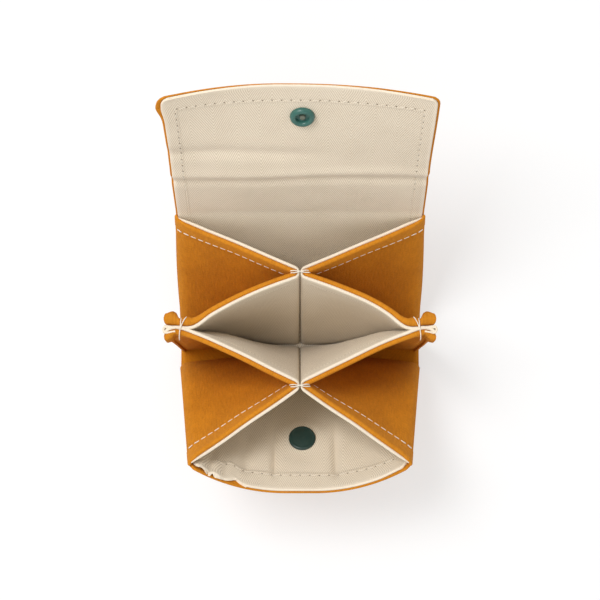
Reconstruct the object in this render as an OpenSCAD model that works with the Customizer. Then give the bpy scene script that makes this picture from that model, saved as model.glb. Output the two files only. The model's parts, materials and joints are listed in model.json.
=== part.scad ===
// Accordion coupon wallet, standing open on its base, flap laid back.
// X runs across the wallet, Y from the front panel to the flap, Z up.
// The origin is the centre of the underside of the base.

/* [Body] */
// Width across the base
body_w = 118; // [98:1:142]
// Depth of the flat base, front fold to back fold
base_d = 22; // [18:0.1:28]
// Height of the front and back panels above their bottom folds
panel_h = 89.3; // [74:0.1:108]

/* [Cloth] */
// Thickness of the outer canvas
canvas_t = 1.3; // [0.8:0.1:1.6]
// Thickness of the herringbone lining
lining_t = 0.9; // [0.6:0.1:1.1]
// Thickness of the canvas under the base
base_canvas_t = 1.1; // [0.8:0.1:1.6]
// Thickness of the lining on the floor of the pockets
base_lining_t = 0.7; // [0.5:0.1:1.1]
// Gap left between neighbouring lengths of cloth
cloth_gap = 0.35; // [0.3:0.05:0.5]
// Gap between two lengths of cloth at a crease of the flap
crease_gap = 0.9; // [0.8:0.05:0.95]

/* [Open pose] */
// Lean of the back panel from upright
back_lean = 27.7; // [20:0.1:34]
// Lean of the front panel's centre line from upright
front_lean = 43; // [34:0.1:48]
// Lean of the back pair of tied folds
back_tie_lean = 13.2; // [9:0.1:16]
// Lean of the front pair of tied folds
front_tie_lean = 13; // [9:0.1:16]
// How far each top corner of the back panel is drawn in from the side
back_corner_draw = 3; // [1:0.1:6]
// How far each top corner of the front panel is drawn in from the side
front_corner_draw = 9.5; // [5:0.1:12]
// How far the front panel's corners are drawn back from its middle
front_bow = 14; // [8:0.1:16]
// How far the front panel dips inwards, a third of the way up
front_dip = 5; // [0:0.1:6]
// Lean of the front panel when the wallet is shut
front_shut_lean = 2.5; // [1.5:0.1:5]

/* [Flap] */
// Back panel's extra height behind the mouth, up to the first crease
flap_stand = 2.5; // [1.5:0.1:5]
// Length of the cover beyond its socket, to its tip
cover_past_socket = 18; // [15:0.1:24]
// Lean of the flap between its creases
spine_lean = 19.5; // [14:0.5:30]
// Lean of the flap's cover
cover_lean = 29.5; // [20:0.5:40]
// Radius of the flap's two outer corners
flap_corner_r = 4; // [2:0.1:8]
// How far the corners of the flap's tip curl forward of its middle
flap_curl = 4; // [0:0.1:6]

/* [Gussets] */
// How much lower than the panels the gussets' folds are
gusset_drop = 1.6; // [1:0.1:4]
// How far the pinched outer folds stand out past the sides of the base
pinch_out = 1.3; // [0.5:0.1:3]
// Distance of the tied folds from the middle of the base, at the floor
tie_foot = 5.5; // [5:0.1:7]
// Inside radius of a folded gusset, on its canvas
fold_r = 0.25; // [0.2:0.05:0.6]
// Distance of the gussets' seams in from the panels' side edges
seam_inset = 1; // [0.5:0.1:2]
// Gap between a panel's lining and the gusset's lining at their seam
seam_gap = 0.6; // [0.5:0.05:1]
// Length over which a back gusset lies along its front neighbour
back_hug = 18; // [8:1:26]
// Length over which a front gusset lies along its back neighbour
front_hug = 10; // [6:1:26]

/* [Snap] */
// Diameter of the two domed caps
cap_d = 12.4; // [10:0.1:14]
// Height of a cap's dome
cap_h = 1.7; // [1.2:0.1:2.4]
// Diameter of the socket
socket_d = 10.4; // [9:0.1:12]
// Height of the socket
socket_h = 2.2; // [1.8:0.1:2.6]
// Diameter of the stud's flange
stud_flange_d = 10.4; // [9:0.1:12]
// Thickness of the stud's flange
stud_flange_t = 0.9; // [0.7:0.1:1.2]
// Diameter of the stud's knob
knob_d = 3.8; // [3.2:0.1:4.4]
// Height of the stud's knob above its flange
knob_h = 1.7; // [1.2:0.1:2]
// Clearance round the knob in the socket
knob_clearance = 0.15; // [0.1:0.05:0.3]
// Distance of the stud from the front panel's bottom fold
stud_up = 57.8; // [50:0.1:71]
// How much further the cloth round the stud leans than the front panel
stud_tilt = 5; // [0:0.5:8]
// Distance of the snap to the right of the wallet's middle
snap_x = 1; // [-2:0.1:2]
// Gap between a cap or socket and the cloth that it is pressed on
seat_gap = 0.02; // [0.01:0.01:0.1]
// Gap between the stud's flange and the socket when they are snapped shut
snap_gap = 0.3; // [0.2:0.05:0.5]

/* [Thread] */
// Thickness of a bar tack
thread_d = 0.9; // [0.6:0.1:1.2]
// Distance of the pinch tacks in from the folds' tips
pinch_tack_in = 2.6; // [2:0.1:8]
// How much wider than its layers of cloth a pinch tack is, on each side
pinch_tack_ease = 1; // [0.8:0.1:2]
// Length of the legs of a pinch tack
pinch_tack_leg = 5; // [3:0.5:8]
// Length of the legs of a tie tack
tie_tack_leg = 2.2; // [1.5:0.1:4]

/* [Hidden] */

canvas_colour = [0.74, 0.43, 0.11];
lining_colour = [0.90, 0.86, 0.78];
thread_colour = [0.95, 0.93, 0.88];
snap_colour = [0.14, 0.27, 0.24];

back_top_w = body_w - 2 * back_corner_draw;
front_top_w = body_w - 2 * front_corner_draw;
gusset_h = panel_h - gusset_drop;
floor_z = base_canvas_t + base_lining_t;
hinge_rise = 0.4;
hinge_z = floor_z + hinge_rise;
hinge_y = base_d / 2;
round_fn = 64;
thread_fn = 16;
hem_taper = 0.6;
hem_round = 0.9;
bow_power = 2;
bow_flat = 0.14;
stud_tilt_reach = 15;
slope_step = 0.02;
panel_across = 20;
panel_up = 8;
front_up = 12;
cover_up = 5;
gusset_leg = 9;
gusset_bend = 6;
gusset_up = 8;
corner_steps = 4;
fold_mid_r = fold_r + canvas_t;
fold_centre_x = fold_mid_r + lining_t + cloth_gap / 2;
pinch_half_gap = lining_t + cloth_gap / 2;
hug_rise = 0.7;
cap_rim_h = 0.5;
cap_edge_r = 0.3;
dome_steps = 8;
pin_d = 1.6;
knob_neck = 0.35;
knob_round = 0.4;
flange_bevel = 0.6;
socket_floor_gap = 0.2;
socket_foot_h = 0.7;
socket_waist_h = 1.2;
socket_waist_in = 0.7;
socket_lip = 0.5;

// Small vector helpers.
function unit(v) = v / norm(v);
function mix(a, b, t) = a + (b - a) * t;
function clamp_index(i, n) = max(0, min(n, i));
function up_slope(lean) = [0, sin(lean), cos(lean)];
function out_of(lean) = [0, cos(lean), -sin(lean)];

// A point of a panel that leans about the fold at the base: distance up the
// panel, and distance out of its flat, away from the pockets.
function on_panel(lean, x, along, out) =
    [x, hinge_y, hinge_z] + along * up_slope(lean) + out * out_of(lean);

// A leaning panel's foot stops just clear of the floor of the pockets.
function foot(lean) =
    (floor_z + cloth_gap - hinge_z + canvas_t * sin(lean)) / cos(lean);

// Rows up a sheet, the last but one just inside its hem.
function rows(n, length) =
    [for (j = [0 : n]) j / n * (1 - hem_round / length), 1];

// Share of a bow at a place across a panel: none over its middle, all at
// its side edges.
function bow_share(x_share) =
    pow(max(0, abs(x_share) - bow_flat) / (1 - bow_flat), bow_power);

// Share of a dip at a height: all of it a third of the way up.
function dip_share(v) = 27 / 4 * v * (1 - v) * (1 - v);

// The face that canvas and lining share, on a panel of the body. A bowed
// panel has its top corners drawn in, and a dipped one its lower part.
function panel_point(lean, top, top_w, bow, dip, x_share, v) =
    let (
        half = mix(body_w / 2, top_w / 2, v),
        drawn = bow * bow_share(x_share) * v,
        along = mix(foot(lean), top, v) - drawn * drawn / (2 * top)
    )
    on_panel(lean, half * x_share, along, -drawn - dip * dip_share(v));

function panel_grid(lean, top, top_w, bow, dip) = [
    for (v = rows(panel_up, top)) [
        for (i = [0 : panel_across])
            panel_point(lean, top, top_w, bow, dip, 2 * i / panel_across - 1, v)
    ]
];

back_top = panel_h + flap_stand - crease_gap / 2;

function back_grid() =
    panel_grid(back_lean, back_top, back_top_w, 0, 0);

// The front panel, as if it stood behind: its own pieces are mirrored from
// this. The cloth round the stud is tipped back with the stud.
function front_point(x_share, v) =
    let (
        p = panel_point(front_lean, panel_h, front_top_w, front_bow,
            front_dip, x_share, v),
        past_stud = mix(foot(front_lean), panel_h, v) - stud_up,
        away = norm([p[0] - snap_x, past_stud]),
        near = exp(-away * away / (stud_tilt_reach * stud_tilt_reach))
    )
    p + tan(stud_tilt) * past_stud * near * out_of(front_lean);

function front_grid() = [
    for (v = rows(front_up, panel_h)) [
        for (i = [0 : panel_across]) front_point(2 * i / panel_across - 1, v)
    ]
];

// Normals of a grid of points, by the differences of its neighbours.
function grid_normal(grid, j, i) =
    let (
        nj = len(grid) - 1,
        ni = len(grid[0]) - 1,
        across = grid[j][clamp_index(i + 1, ni)] - grid[j][clamp_index(i - 1, ni)],
        up = grid[clamp_index(j + 1, nj)][i] - grid[clamp_index(j - 1, nj)][i]
    )
    unit(cross(across, up));

// A grid moved along its normals, by less in its last row, the hem.
function moved_grid(grid, distance) = [
    for (j = [0 : len(grid) - 1]) [
        for (i = [0 : len(grid[0]) - 1])
            grid[j][i] + grid_normal(grid, j, i) * distance
                * (j == len(grid) - 1 ? hem_taper : 1)
    ]
];

// A closed sheet of cloth between a grid and the same grid moved along its
// normals. A positive distance is lining, a negative one is canvas.
module sheet(grid, distance) {
    nj = len(grid);
    ni = len(grid[0]);
    far = moved_grid(grid, distance);
    low = distance > 0 ? grid : far;
    high = distance > 0 ? far : grid;
    n = nj * ni;
    rim = concat(
        [for (i = [0 : ni - 2]) i],
        [for (j = [0 : nj - 2]) j * ni + ni - 1],
        [for (i = [ni - 1 : -1 : 1]) (nj - 1) * ni + i],
        [for (j = [nj - 1 : -1 : 1]) j * ni]
    );
    cells = [for (j = [0 : nj - 2], i = [0 : ni - 2]) j * ni + i];
    faces = concat(
        [for (c = cells) each [[c, c + 1, c + ni + 1], [c, c + ni + 1, c + ni]]],
        [for (c = cells)
            each [[n + c, n + c + ni + 1, n + c + 1],
                  [n + c, n + c + ni, n + c + ni + 1]]],
        [for (k = [0 : len(rim) - 1])
            let (a = rim[k], b = rim[(k + 1) % len(rim)])
            each [[b, a, n + a], [b, n + a, n + b]]]
    );
    polyhedron(
        concat([for (row = low) each row], [for (row = high) each row]),
        faces,
        convexity = 6
    );
}

// The front panel's line up through the stud, and its lean at the stud.
function snap_line(v) =
    front_point(snap_x / mix(body_w / 2, front_top_w / 2, v), v);
stud_v = (stud_up - foot(front_lean)) / (panel_h - foot(front_lean));
stud_slope = snap_line(stud_v + slope_step) - snap_line(stud_v - slope_step);
stud_lean = atan2(stud_slope[1], stud_slope[2]);

// The same place and lean with the wallet shut, and the place of the
// socket's seat on the flap, in front of it.
shut_turn = front_lean - front_shut_lean;
stud_arm = snap_line(stud_v) - [snap_x, hinge_y, hinge_z];
stud_shut_lean = stud_lean - shut_turn;
stud_shut = [snap_x, hinge_y, hinge_z] + norm(stud_arm)
    * up_slope(atan2(stud_arm[1], stud_arm[2]) - shut_turn);
seat_shut = stud_shut
    + (canvas_t + stud_flange_t + snap_gap + socket_h + seat_gap)
    * out_of(stud_shut_lean);

// The flap shut: level over the mouth from the first crease to the second,
// then down along the front, to bring the socket onto the stud.
crease_shut_z = hinge_z + panel_h + flap_stand;
socket_out = (crease_shut_z - seat_shut[2]) / cos(stud_shut_lean);
spine_l = seat_shut[1] + hinge_y - lining_t + socket_out * sin(stud_shut_lean);
cover_l = socket_out + cover_past_socket;

// A row across one length of the flap, whose crease lies on the lining's
// face. The row's ends can curl forward.
function flap_row(crease, lean, half, along, curl) = [
    for (i = [0 : panel_across])
        let (x_share = 2 * i / panel_across - 1)
        crease + [half * x_share, 0, 0] + along * up_slope(lean)
            + (lining_t - curl * bow_share(x_share)) * out_of(lean)
];

// The crease where the flap leaves the back panel, and the one beyond it.
first_crease = on_panel(back_lean, 0, panel_h + flap_stand, -lining_t);
second_crease = first_crease + spine_l * up_slope(spine_lean);

function spine_grid() = [
    for (v = [0, 0.5, 1])
        flap_row(first_crease, spine_lean, back_top_w / 2,
            mix(crease_gap / 2, spine_l - crease_gap / 2, v), 0)
];

// A row of the flap's cover, narrowed by its rounded corners.
function cover_row(along, narrowed) =
    flap_row(second_crease, cover_lean, back_top_w / 2 - narrowed, along,
        flap_curl * along / cover_l);

function cover_grid() =
    let (straight = cover_l - flap_corner_r)
    [
        for (k = [0 : cover_up])
            cover_row(mix(crease_gap / 2, straight, k / cover_up), 0),
        for (k = [1 : corner_steps])
            let (a = 90 * k / corner_steps)
            cover_row(straight + flap_corner_r * sin(a),
                flap_corner_r * (1 - cos(a)))
    ];

// One half of a gusset strip, seen from above as a V: from the seam at the
// panel, in to the fold that is tied to its twin, and back out to the pinch.
// It lies on the right and behind. Its left and front twins are mirrored.
function seam_point(lean, top, top_w, bow, dip, v) =
    let (
        along = mix(foot(lean), panel_h, v),
        share = 1 - 2 * seam_inset / body_w,
        on = panel_point(lean, top, top_w, bow, dip, share,
            (along - foot(lean)) / (top - foot(lean)))
    )
    on - (2 * lining_t + seam_gap) * out_of(lean);

function tie_point(tie_lean, v) =
    [fold_centre_x, tie_foot, floor_z + cloth_gap]
        + v * gusset_h * up_slope(tie_lean);

function pinch_point(v) = [
    mix(body_w / 2 - seam_inset, body_w / 2 + pinch_out, v),
    pinch_half_gap,
    floor_z + cloth_gap + v * gusset_h
];

// The point at an angle round a tied fold, from straight in front of it.
function bend_point(tie, angle) =
    tie + fold_mid_r * [-cos(angle), sin(angle), 0];

function gusset_row(seam, tie, pinch, hug, v) =
    let (
        back_angle = 90 - atan2(seam[1] - tie[1], seam[0] - tie[0]),
        front_angle = 90 - atan2(tie[1] - pinch[1], pinch[0] - tie[0]),
        a = bend_point(tie, back_angle),
        b = bend_point(tie, -front_angle),
        hug_x = pinch[0] - hug,
        line = mix(b, pinch, (hug_x - b[0]) / (pinch[0] - b[0])),
        hugged = [hug_x, mix(line[1], min(line[1], pinch[1] + hug_rise), v), line[2]]
    )
    concat(
        [for (i = [0 : gusset_leg - 1]) mix(seam, a, i / gusset_leg)],
        [for (i = [0 : gusset_bend])
            bend_point(tie, mix(back_angle, -front_angle, i / gusset_bend))],
        [for (i = [1 : gusset_leg])
            let (t = i / gusset_leg)
            mix(mix(b, hugged, t), mix(hugged, pinch, t), t)]
    );

function gusset_grid(lean, top, top_w, bow, dip, tie_lean, hug) = [
    for (v = rows(gusset_up, panel_h))
        gusset_row(seam_point(lean, top, top_w, bow, dip, v),
            tie_point(tie_lean, v), pinch_point(v), hug, v)
];

module back_gusset(distance) {
    sheet(gusset_grid(back_lean, back_top, back_top_w, 0, 0,
        back_tie_lean, back_hug), distance);
}

module front_gusset(distance) {
    mirror([0, 1, 0])
        sheet(gusset_grid(front_lean, panel_h, front_top_w, front_bow,
            front_dip, front_tie_lean, front_hug), distance);
}

// The base: one strip across, its long edges rounded where the cloth turns.
module base_strip(depth, thickness, width) {
    rotate([90, 0, 90])
        linear_extrude(width, center = true) {
            translate([-depth / 2, 0])
                square([depth, thickness]);
            for (side = [-1, 1])
                translate([side * depth / 2, thickness / 2])
                    circle(d = thickness, $fn = round_fn);
        }
}

module base_canvas() {
    color(canvas_colour)
        base_strip(base_d + 2 * lining_t, base_canvas_t, body_w);
}

module base_lining() {
    color(lining_colour)
        translate([0, 0, base_canvas_t])
            base_strip(base_d, base_lining_t, body_w - 2 * seam_inset);
}

module back_canvas() {
    color(canvas_colour)
        sheet(back_grid(), -canvas_t);
}

module back_lining() {
    color(lining_colour)
        sheet(back_grid(), lining_t);
}

module front_canvas() {
    color(canvas_colour)
        mirror([0, 1, 0])
            sheet(front_grid(), -canvas_t);
}

module front_lining() {
    color(lining_colour)
        mirror([0, 1, 0])
            sheet(front_grid(), lining_t);
}

module flap_spine_canvas() {
    color(canvas_colour)
        sheet(spine_grid(), -canvas_t);
}

module flap_spine_lining() {
    color(lining_colour)
        sheet(spine_grid(), lining_t);
}

module flap_cover_canvas() {
    color(canvas_colour)
        sheet(cover_grid(), -canvas_t);
}

module flap_cover_lining() {
    color(lining_colour)
        sheet(cover_grid(), lining_t);
}

// A thread with round ends, from one point to another.
module thread(from, to) {
    way = to - from;
    translate(from)
        rotate([0, acos(way[2] / norm(way)), atan2(way[1], way[0])])
            cylinder(h = norm(way), d = thread_d, $fn = thread_fn);
    for (end = [from, to])
        translate(end)
            sphere(d = thread_d, $fn = thread_fn);
}

// A staple of thread: a bar along Y over the edges, and a leg at each end.
module staple(half_span, leg) {
    thread([0, -half_span, 0], [0, half_span, 0]);
    for (side = [-1, 1])
        thread([0, side * half_span, 0], [0, side * half_span, -leg]);
}

// Ties the left and right folds of one pair, over their top edges.
module tie_tack(tie_lean) {
    color(thread_colour)
        translate(tie_point(tie_lean, 1) - [fold_centre_x, 0, 0])
            rotate([-tie_lean, 0, 0])
                translate([0, 0, cloth_gap + thread_d / 2])
                    rotate([0, 0, 90])
                        staple(fold_centre_x + fold_r + thread_d, tie_tack_leg);
}

module back_tie_tack() {
    tie_tack(back_tie_lean);
}

module front_tie_tack() {
    mirror([0, 1, 0])
        tie_tack(front_tie_lean);
}

// Closes the outer fold of one side, just inside its tip.
module right_pinch_tack() {
    color(thread_colour)
        translate(pinch_point(1) + [-pinch_tack_in, -pinch_half_gap,
                cloth_gap + thread_d / 2])
            staple(pinch_half_gap + canvas_t + pinch_tack_ease + thread_d / 2,
                pinch_tack_leg);
}

module left_pinch_tack() {
    mirror([1, 0, 0])
        right_pinch_tack();
}

// Places a piece on the front panel, its Z out of the canvas.
module at_stud() {
    mirror([0, 1, 0])
        translate(snap_line(stud_v))
            rotate([-90 - stud_lean, 0, 0])
                children();
}

// Places a piece on the flap's cover, its Z out of the lining.
module at_socket() {
    translate(second_crease + [snap_x, 0, 0]
            + socket_out * up_slope(cover_lean) + lining_t * out_of(cover_lean))
        rotate([90 - cover_lean, 0, 0])
            children();
}

// A domed cap with its pin, which goes through the cloth below it.
module domed_cap(pin_l) {
    half = cap_d / 2;
    dome = cap_h - cap_rim_h;
    curve_r = (half * half + dome * dome) / (2 * dome);
    reach = asin(half / curve_r);
    rotate_extrude($fn = round_fn)
        polygon(concat(
            [[0, -pin_l], [pin_d / 2, -pin_l], [pin_d / 2, 0],
             [half - cap_edge_r, 0], [half, cap_edge_r]],
            [for (k = [0 : dome_steps])
                let (a = reach * (1 - k / dome_steps))
                [curve_r * sin(a), cap_h - curve_r * (1 - cos(a))]]
        ));
}

module snap_stud_cap() {
    color(snap_colour)
        at_stud()
            translate([0, 0, -lining_t - seat_gap])
                rotate([180, 0, 0])
                    domed_cap(lining_t + canvas_t + seat_gap);
}

module snap_stud() {
    color(snap_colour)
        at_stud()
            translate([0, 0, canvas_t])
                rotate_extrude($fn = round_fn)
                    polygon([
                        [0, 0], [stud_flange_d / 2, 0],
                        [stud_flange_d / 2, stud_flange_t * 0.6],
                        [stud_flange_d / 2 - flange_bevel, stud_flange_t],
                        [knob_d / 2 - knob_neck, stud_flange_t],
                        [knob_d / 2 - knob_neck, stud_flange_t + knob_h * 0.4],
                        [knob_d / 2, stud_flange_t + knob_h * 0.6],
                        [knob_d / 2, stud_flange_t + knob_h * 0.8],
                        [knob_d / 2 - knob_round, stud_flange_t + knob_h],
                        [0, stud_flange_t + knob_h]
                    ]);
}

module snap_socket() {
    well_r = knob_d / 2 + knob_clearance;
    floor_h = socket_h - knob_h - socket_floor_gap;
    waist_r = socket_d / 2 - socket_waist_in;
    color(snap_colour)
        at_socket()
            translate([0, 0, lining_t + seat_gap])
                rotate_extrude($fn = round_fn)
                    polygon([
                        [0, 0], [socket_d / 2, 0], [socket_d / 2, socket_foot_h],
                        [waist_r, socket_waist_h], [waist_r, socket_h - socket_lip],
                        [waist_r - socket_lip, socket_h], [well_r + socket_lip, socket_h],
                        [well_r, socket_h - socket_lip], [well_r, floor_h], [0, floor_h]
                    ]);
}

module snap_socket_cap() {
    color(snap_colour)
        at_socket()
            translate([0, 0, -canvas_t - seat_gap])
                rotate([180, 0, 0])
                    domed_cap(lining_t + canvas_t + seat_gap);
}

module gusset_left_back_canvas() {
    color(canvas_colour) mirror([1, 0, 0]) back_gusset(-canvas_t);
}

module gusset_left_back_lining() {
    color(lining_colour) mirror([1, 0, 0]) back_gusset(lining_t);
}

module gusset_left_front_canvas() {
    color(canvas_colour) mirror([1, 0, 0]) front_gusset(-canvas_t);
}

module gusset_left_front_lining() {
    color(lining_colour) mirror([1, 0, 0]) front_gusset(lining_t);
}

module gusset_right_back_canvas() {
    color(canvas_colour) back_gusset(-canvas_t);
}

module gusset_right_back_lining() {
    color(lining_colour) back_gusset(lining_t);
}

module gusset_right_front_canvas() {
    color(canvas_colour) front_gusset(-canvas_t);
}

module gusset_right_front_lining() {
    color(lining_colour) front_gusset(lining_t);
}

base_canvas();
base_lining();
back_canvas();
back_lining();
front_canvas();
front_lining();
flap_spine_canvas();
flap_spine_lining();
flap_cover_canvas();
flap_cover_lining();
gusset_left_back_canvas();
gusset_left_back_lining();
gusset_left_front_canvas();
gusset_left_front_lining();
gusset_right_back_canvas();
gusset_right_back_lining();
gusset_right_front_canvas();
gusset_right_front_lining();
back_tie_tack();
front_tie_tack();
left_pinch_tack();
right_pinch_tack();
snap_stud();
snap_stud_cap();
snap_socket();
snap_socket_cap();
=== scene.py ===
"""Looks of an accordion coupon wallet that stands open on its base, flap laid back.

Lengths are metres and angles are degrees, unless a name says otherwise. X runs
across the wallet, Y from its front panel to its flap, Z up.
"""

from __future__ import annotations

import json
import logging
import math
from dataclasses import dataclass
from enum import Enum
from typing import Callable

import bpy
import numpy as np
from mathutils import Matrix, Vector, noise

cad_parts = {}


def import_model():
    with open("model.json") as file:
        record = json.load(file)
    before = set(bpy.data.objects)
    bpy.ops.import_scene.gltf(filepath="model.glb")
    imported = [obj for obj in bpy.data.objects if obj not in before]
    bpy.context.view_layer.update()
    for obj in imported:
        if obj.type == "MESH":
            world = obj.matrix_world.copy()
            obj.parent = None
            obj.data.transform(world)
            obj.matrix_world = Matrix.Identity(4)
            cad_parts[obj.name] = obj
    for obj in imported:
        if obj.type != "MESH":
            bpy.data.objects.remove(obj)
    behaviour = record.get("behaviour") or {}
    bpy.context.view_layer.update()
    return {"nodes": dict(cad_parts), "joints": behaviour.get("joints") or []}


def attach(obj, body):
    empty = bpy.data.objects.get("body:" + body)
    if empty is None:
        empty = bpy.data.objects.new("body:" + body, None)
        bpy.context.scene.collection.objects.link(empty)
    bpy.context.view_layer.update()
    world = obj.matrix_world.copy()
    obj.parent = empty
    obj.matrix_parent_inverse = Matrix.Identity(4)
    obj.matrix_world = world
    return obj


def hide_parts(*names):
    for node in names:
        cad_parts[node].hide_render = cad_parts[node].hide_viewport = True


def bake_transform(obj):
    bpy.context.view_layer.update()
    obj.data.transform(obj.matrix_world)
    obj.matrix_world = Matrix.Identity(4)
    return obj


MM = 0.001
Surface = Callable[[np.ndarray, np.ndarray], np.ndarray]
Line = tuple[np.ndarray, np.ndarray]

# How far down a hem its topstitching is, as a share of the hem's width.
STITCH_AT = 0.86
# Share of a gusset's leg that is straight, before its tied fold.
FOLD_FROM = 0.955
# The thicknesses of canvas and lining, in a doubled hem and away from it.
CANVAS_HEM = 2.2 * MM
CANVAS_PLAIN = 1.25 * MM
LINING_HEM = 1.5 * MM
LINING_PLAIN = 0.85 * MM
# Thickness of either layer in the hems of the back panel and the flap.
FLAP_HEM = 1.0 * MM
# Thicknesses of canvas and lining in the front panel's hem.
FRONT_CANVAS_HEM = 1.25 * MM
FRONT_LINING_HEM = 1.3 * MM
# Degrees that the cap inside the front is tilted up from its cloth, and its foot's radius.
CAP_TILT = 8.0
CAP_R = 6 * MM

log = logging.getLogger("wallet")


class Side(Enum):
    """The two sides of the wallet, as the sign of X."""

    LEFT = -1
    RIGHT = 1


class Row(Enum):
    """The back and the front row of folds, as the sign of Y."""

    BACK = 1
    FRONT = -1


class Layer(Enum):
    """The two layers of cloth, as the side of their shared face they lie on."""

    CANVAS = -1
    LINING = 1


def mix(a: np.ndarray | float, b: np.ndarray | float, t: np.ndarray | float) -> np.ndarray | float:
    """Goes from a at t 0 to b at t 1."""
    return a + (b - a) * t


def smooth(x: np.ndarray, start: float, end: float) -> np.ndarray:
    """Rises smoothly from 0 at start to 1 at end."""
    t = np.clip((x - start) / (end - start), 0.0, 1.0)
    return t * t * (3 - 2 * t)


def hump(x: np.ndarray, centre: float, width: float) -> np.ndarray:
    """A bell of height 1 at centre."""
    return np.exp(-(((x - centre) / width) ** 2))


def up_slope(lean: float) -> np.ndarray:
    """The direction up cloth that leans back from upright."""
    a = math.radians(lean)
    return np.array([0.0, math.sin(a), math.cos(a)])


def out_of(lean: float) -> np.ndarray:
    """The direction out of leaning cloth, away from the pockets."""
    a = math.radians(lean)
    return np.array([0.0, math.cos(a), -math.sin(a)])


def unit(v: np.ndarray) -> np.ndarray:
    """Scales each vector of an array to length 1."""
    return v / np.maximum(np.linalg.norm(v, axis=-1, keepdims=True), 1e-12)


def ripple(points: np.ndarray, size: float, seed: float) -> np.ndarray:
    """Smooth noise at each point.

    Args:
        points: Places, as an array that ends in three coordinates.
        size: Size of the noise's features.
        seed: Shifts the noise, so that pieces differ.

    Returns:
        One number from about -1 to 1 for each point.
    """
    flat = points.reshape(-1, 3) / size + seed
    values = np.array([noise.noise(Vector(p)) for p in flat])
    return values.reshape(points.shape[:-1])


def waving(points: np.ndarray, wave: tuple[float, float, float]) -> np.ndarray:
    """Noise at each point, of a height, a size and a seed."""
    height, size, seed = wave
    return height * ripple(points, size, seed)


@dataclass(frozen=True)
class Cut:
    """Sizes of the cut cloth and the way it stands open."""

    body_w: float = 118 * MM
    panel_h: float = 89.3 * MM
    flap_stand: float = 2.5 * MM
    back_draw: float = 3 * MM
    front_draw: float = 9.5 * MM
    canvas_t: float = 1.3 * MM
    lining_t: float = 0.9 * MM
    floor_z: float = 1.8 * MM
    cloth_gap: float = 0.35 * MM
    back_lean: float = 27.7
    front_lean: float = 43.0
    back_tie_lean: float = 13.2
    front_tie_lean: float = 13.0
    front_bow: float = 15 * MM
    front_dip: float = 5 * MM
    bow_flat: float = 0.14
    stud_up: float = 57.8 * MM
    stud_tilt: float = 5.0
    stud_reach: float = 15 * MM
    snap_x: float = 1 * MM
    spine_lean: float = 19.5
    cover_lean: float = 29.5
    cover_l: float = 54.28 * MM
    flap_corner_r: float = 4 * MM
    gusset_drop: float = 1.6 * MM
    pinch_out: float = 1.3 * MM
    tie_foot: float = 5.5 * MM
    fold_r: float = 0.25 * MM
    seam_inset: float = 1 * MM
    seam_gap: float = 0.6 * MM
    back_hug: float = 18 * MM
    front_hug: float = 10 * MM
    # How the inner legs run: their foot, each row's knee, corner and bulge along the hem,
    # how far they lean, and where they part.
    foot_y: float = 2.7 * MM
    back_knee: tuple = (0.70, 1.3 * MM, 1.2 * MM)
    front_knee: tuple = (0.76, 0.8 * MM, -3.9 * MM)
    lean_back: float = 3.6 * MM
    lean_end: float = 0.85
    knee_soft: float = 0.15
    part_x: float = 62 * MM
    part_power: float = 2.2
    part_most: float = 0.93
    part_soft: float = 0.04
    edge_share: float = 0.985

    @property
    def gusset_h(self) -> float:
        """Height of the gussets' folds."""
        return self.panel_h - self.gusset_drop

    @property
    def fold_mid_r(self) -> float:
        """Radius of a tied fold, where its two layers meet."""
        return self.fold_r + self.canvas_t

    @property
    def fold_x(self) -> float:
        """Distance of a tied fold's centre from the wallet's middle."""
        return self.fold_mid_r + self.lining_t + self.cloth_gap / 2

    @property
    def pinch_y(self) -> float:
        """Half the distance between the shared faces at the pinched folds."""
        return self.lining_t + self.cloth_gap / 2

    @property
    def back_half(self) -> float:
        """Half width of the back panel's top and of the flap."""
        return self.body_w / 2 - self.back_draw


class Creases:
    """Where the cloth folds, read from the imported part's joints."""

    def __init__(self, joints: list[dict]) -> None:
        """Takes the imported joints' places.

        Args:
            joints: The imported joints, each with its name and place.
        """
        place = {j["name"]: np.array(j["pos_m"], float) for j in joints}
        self.hinge_y: float = float(place["back_panel_close"][1])
        self.hinge_z: float = float(place["back_panel_close"][2])
        self.first: np.ndarray = place["flap_fold"]
        self.second: np.ndarray = place["cover_fold"]
        self.spine_l: float = float(np.linalg.norm(self.second - self.first))


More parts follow.
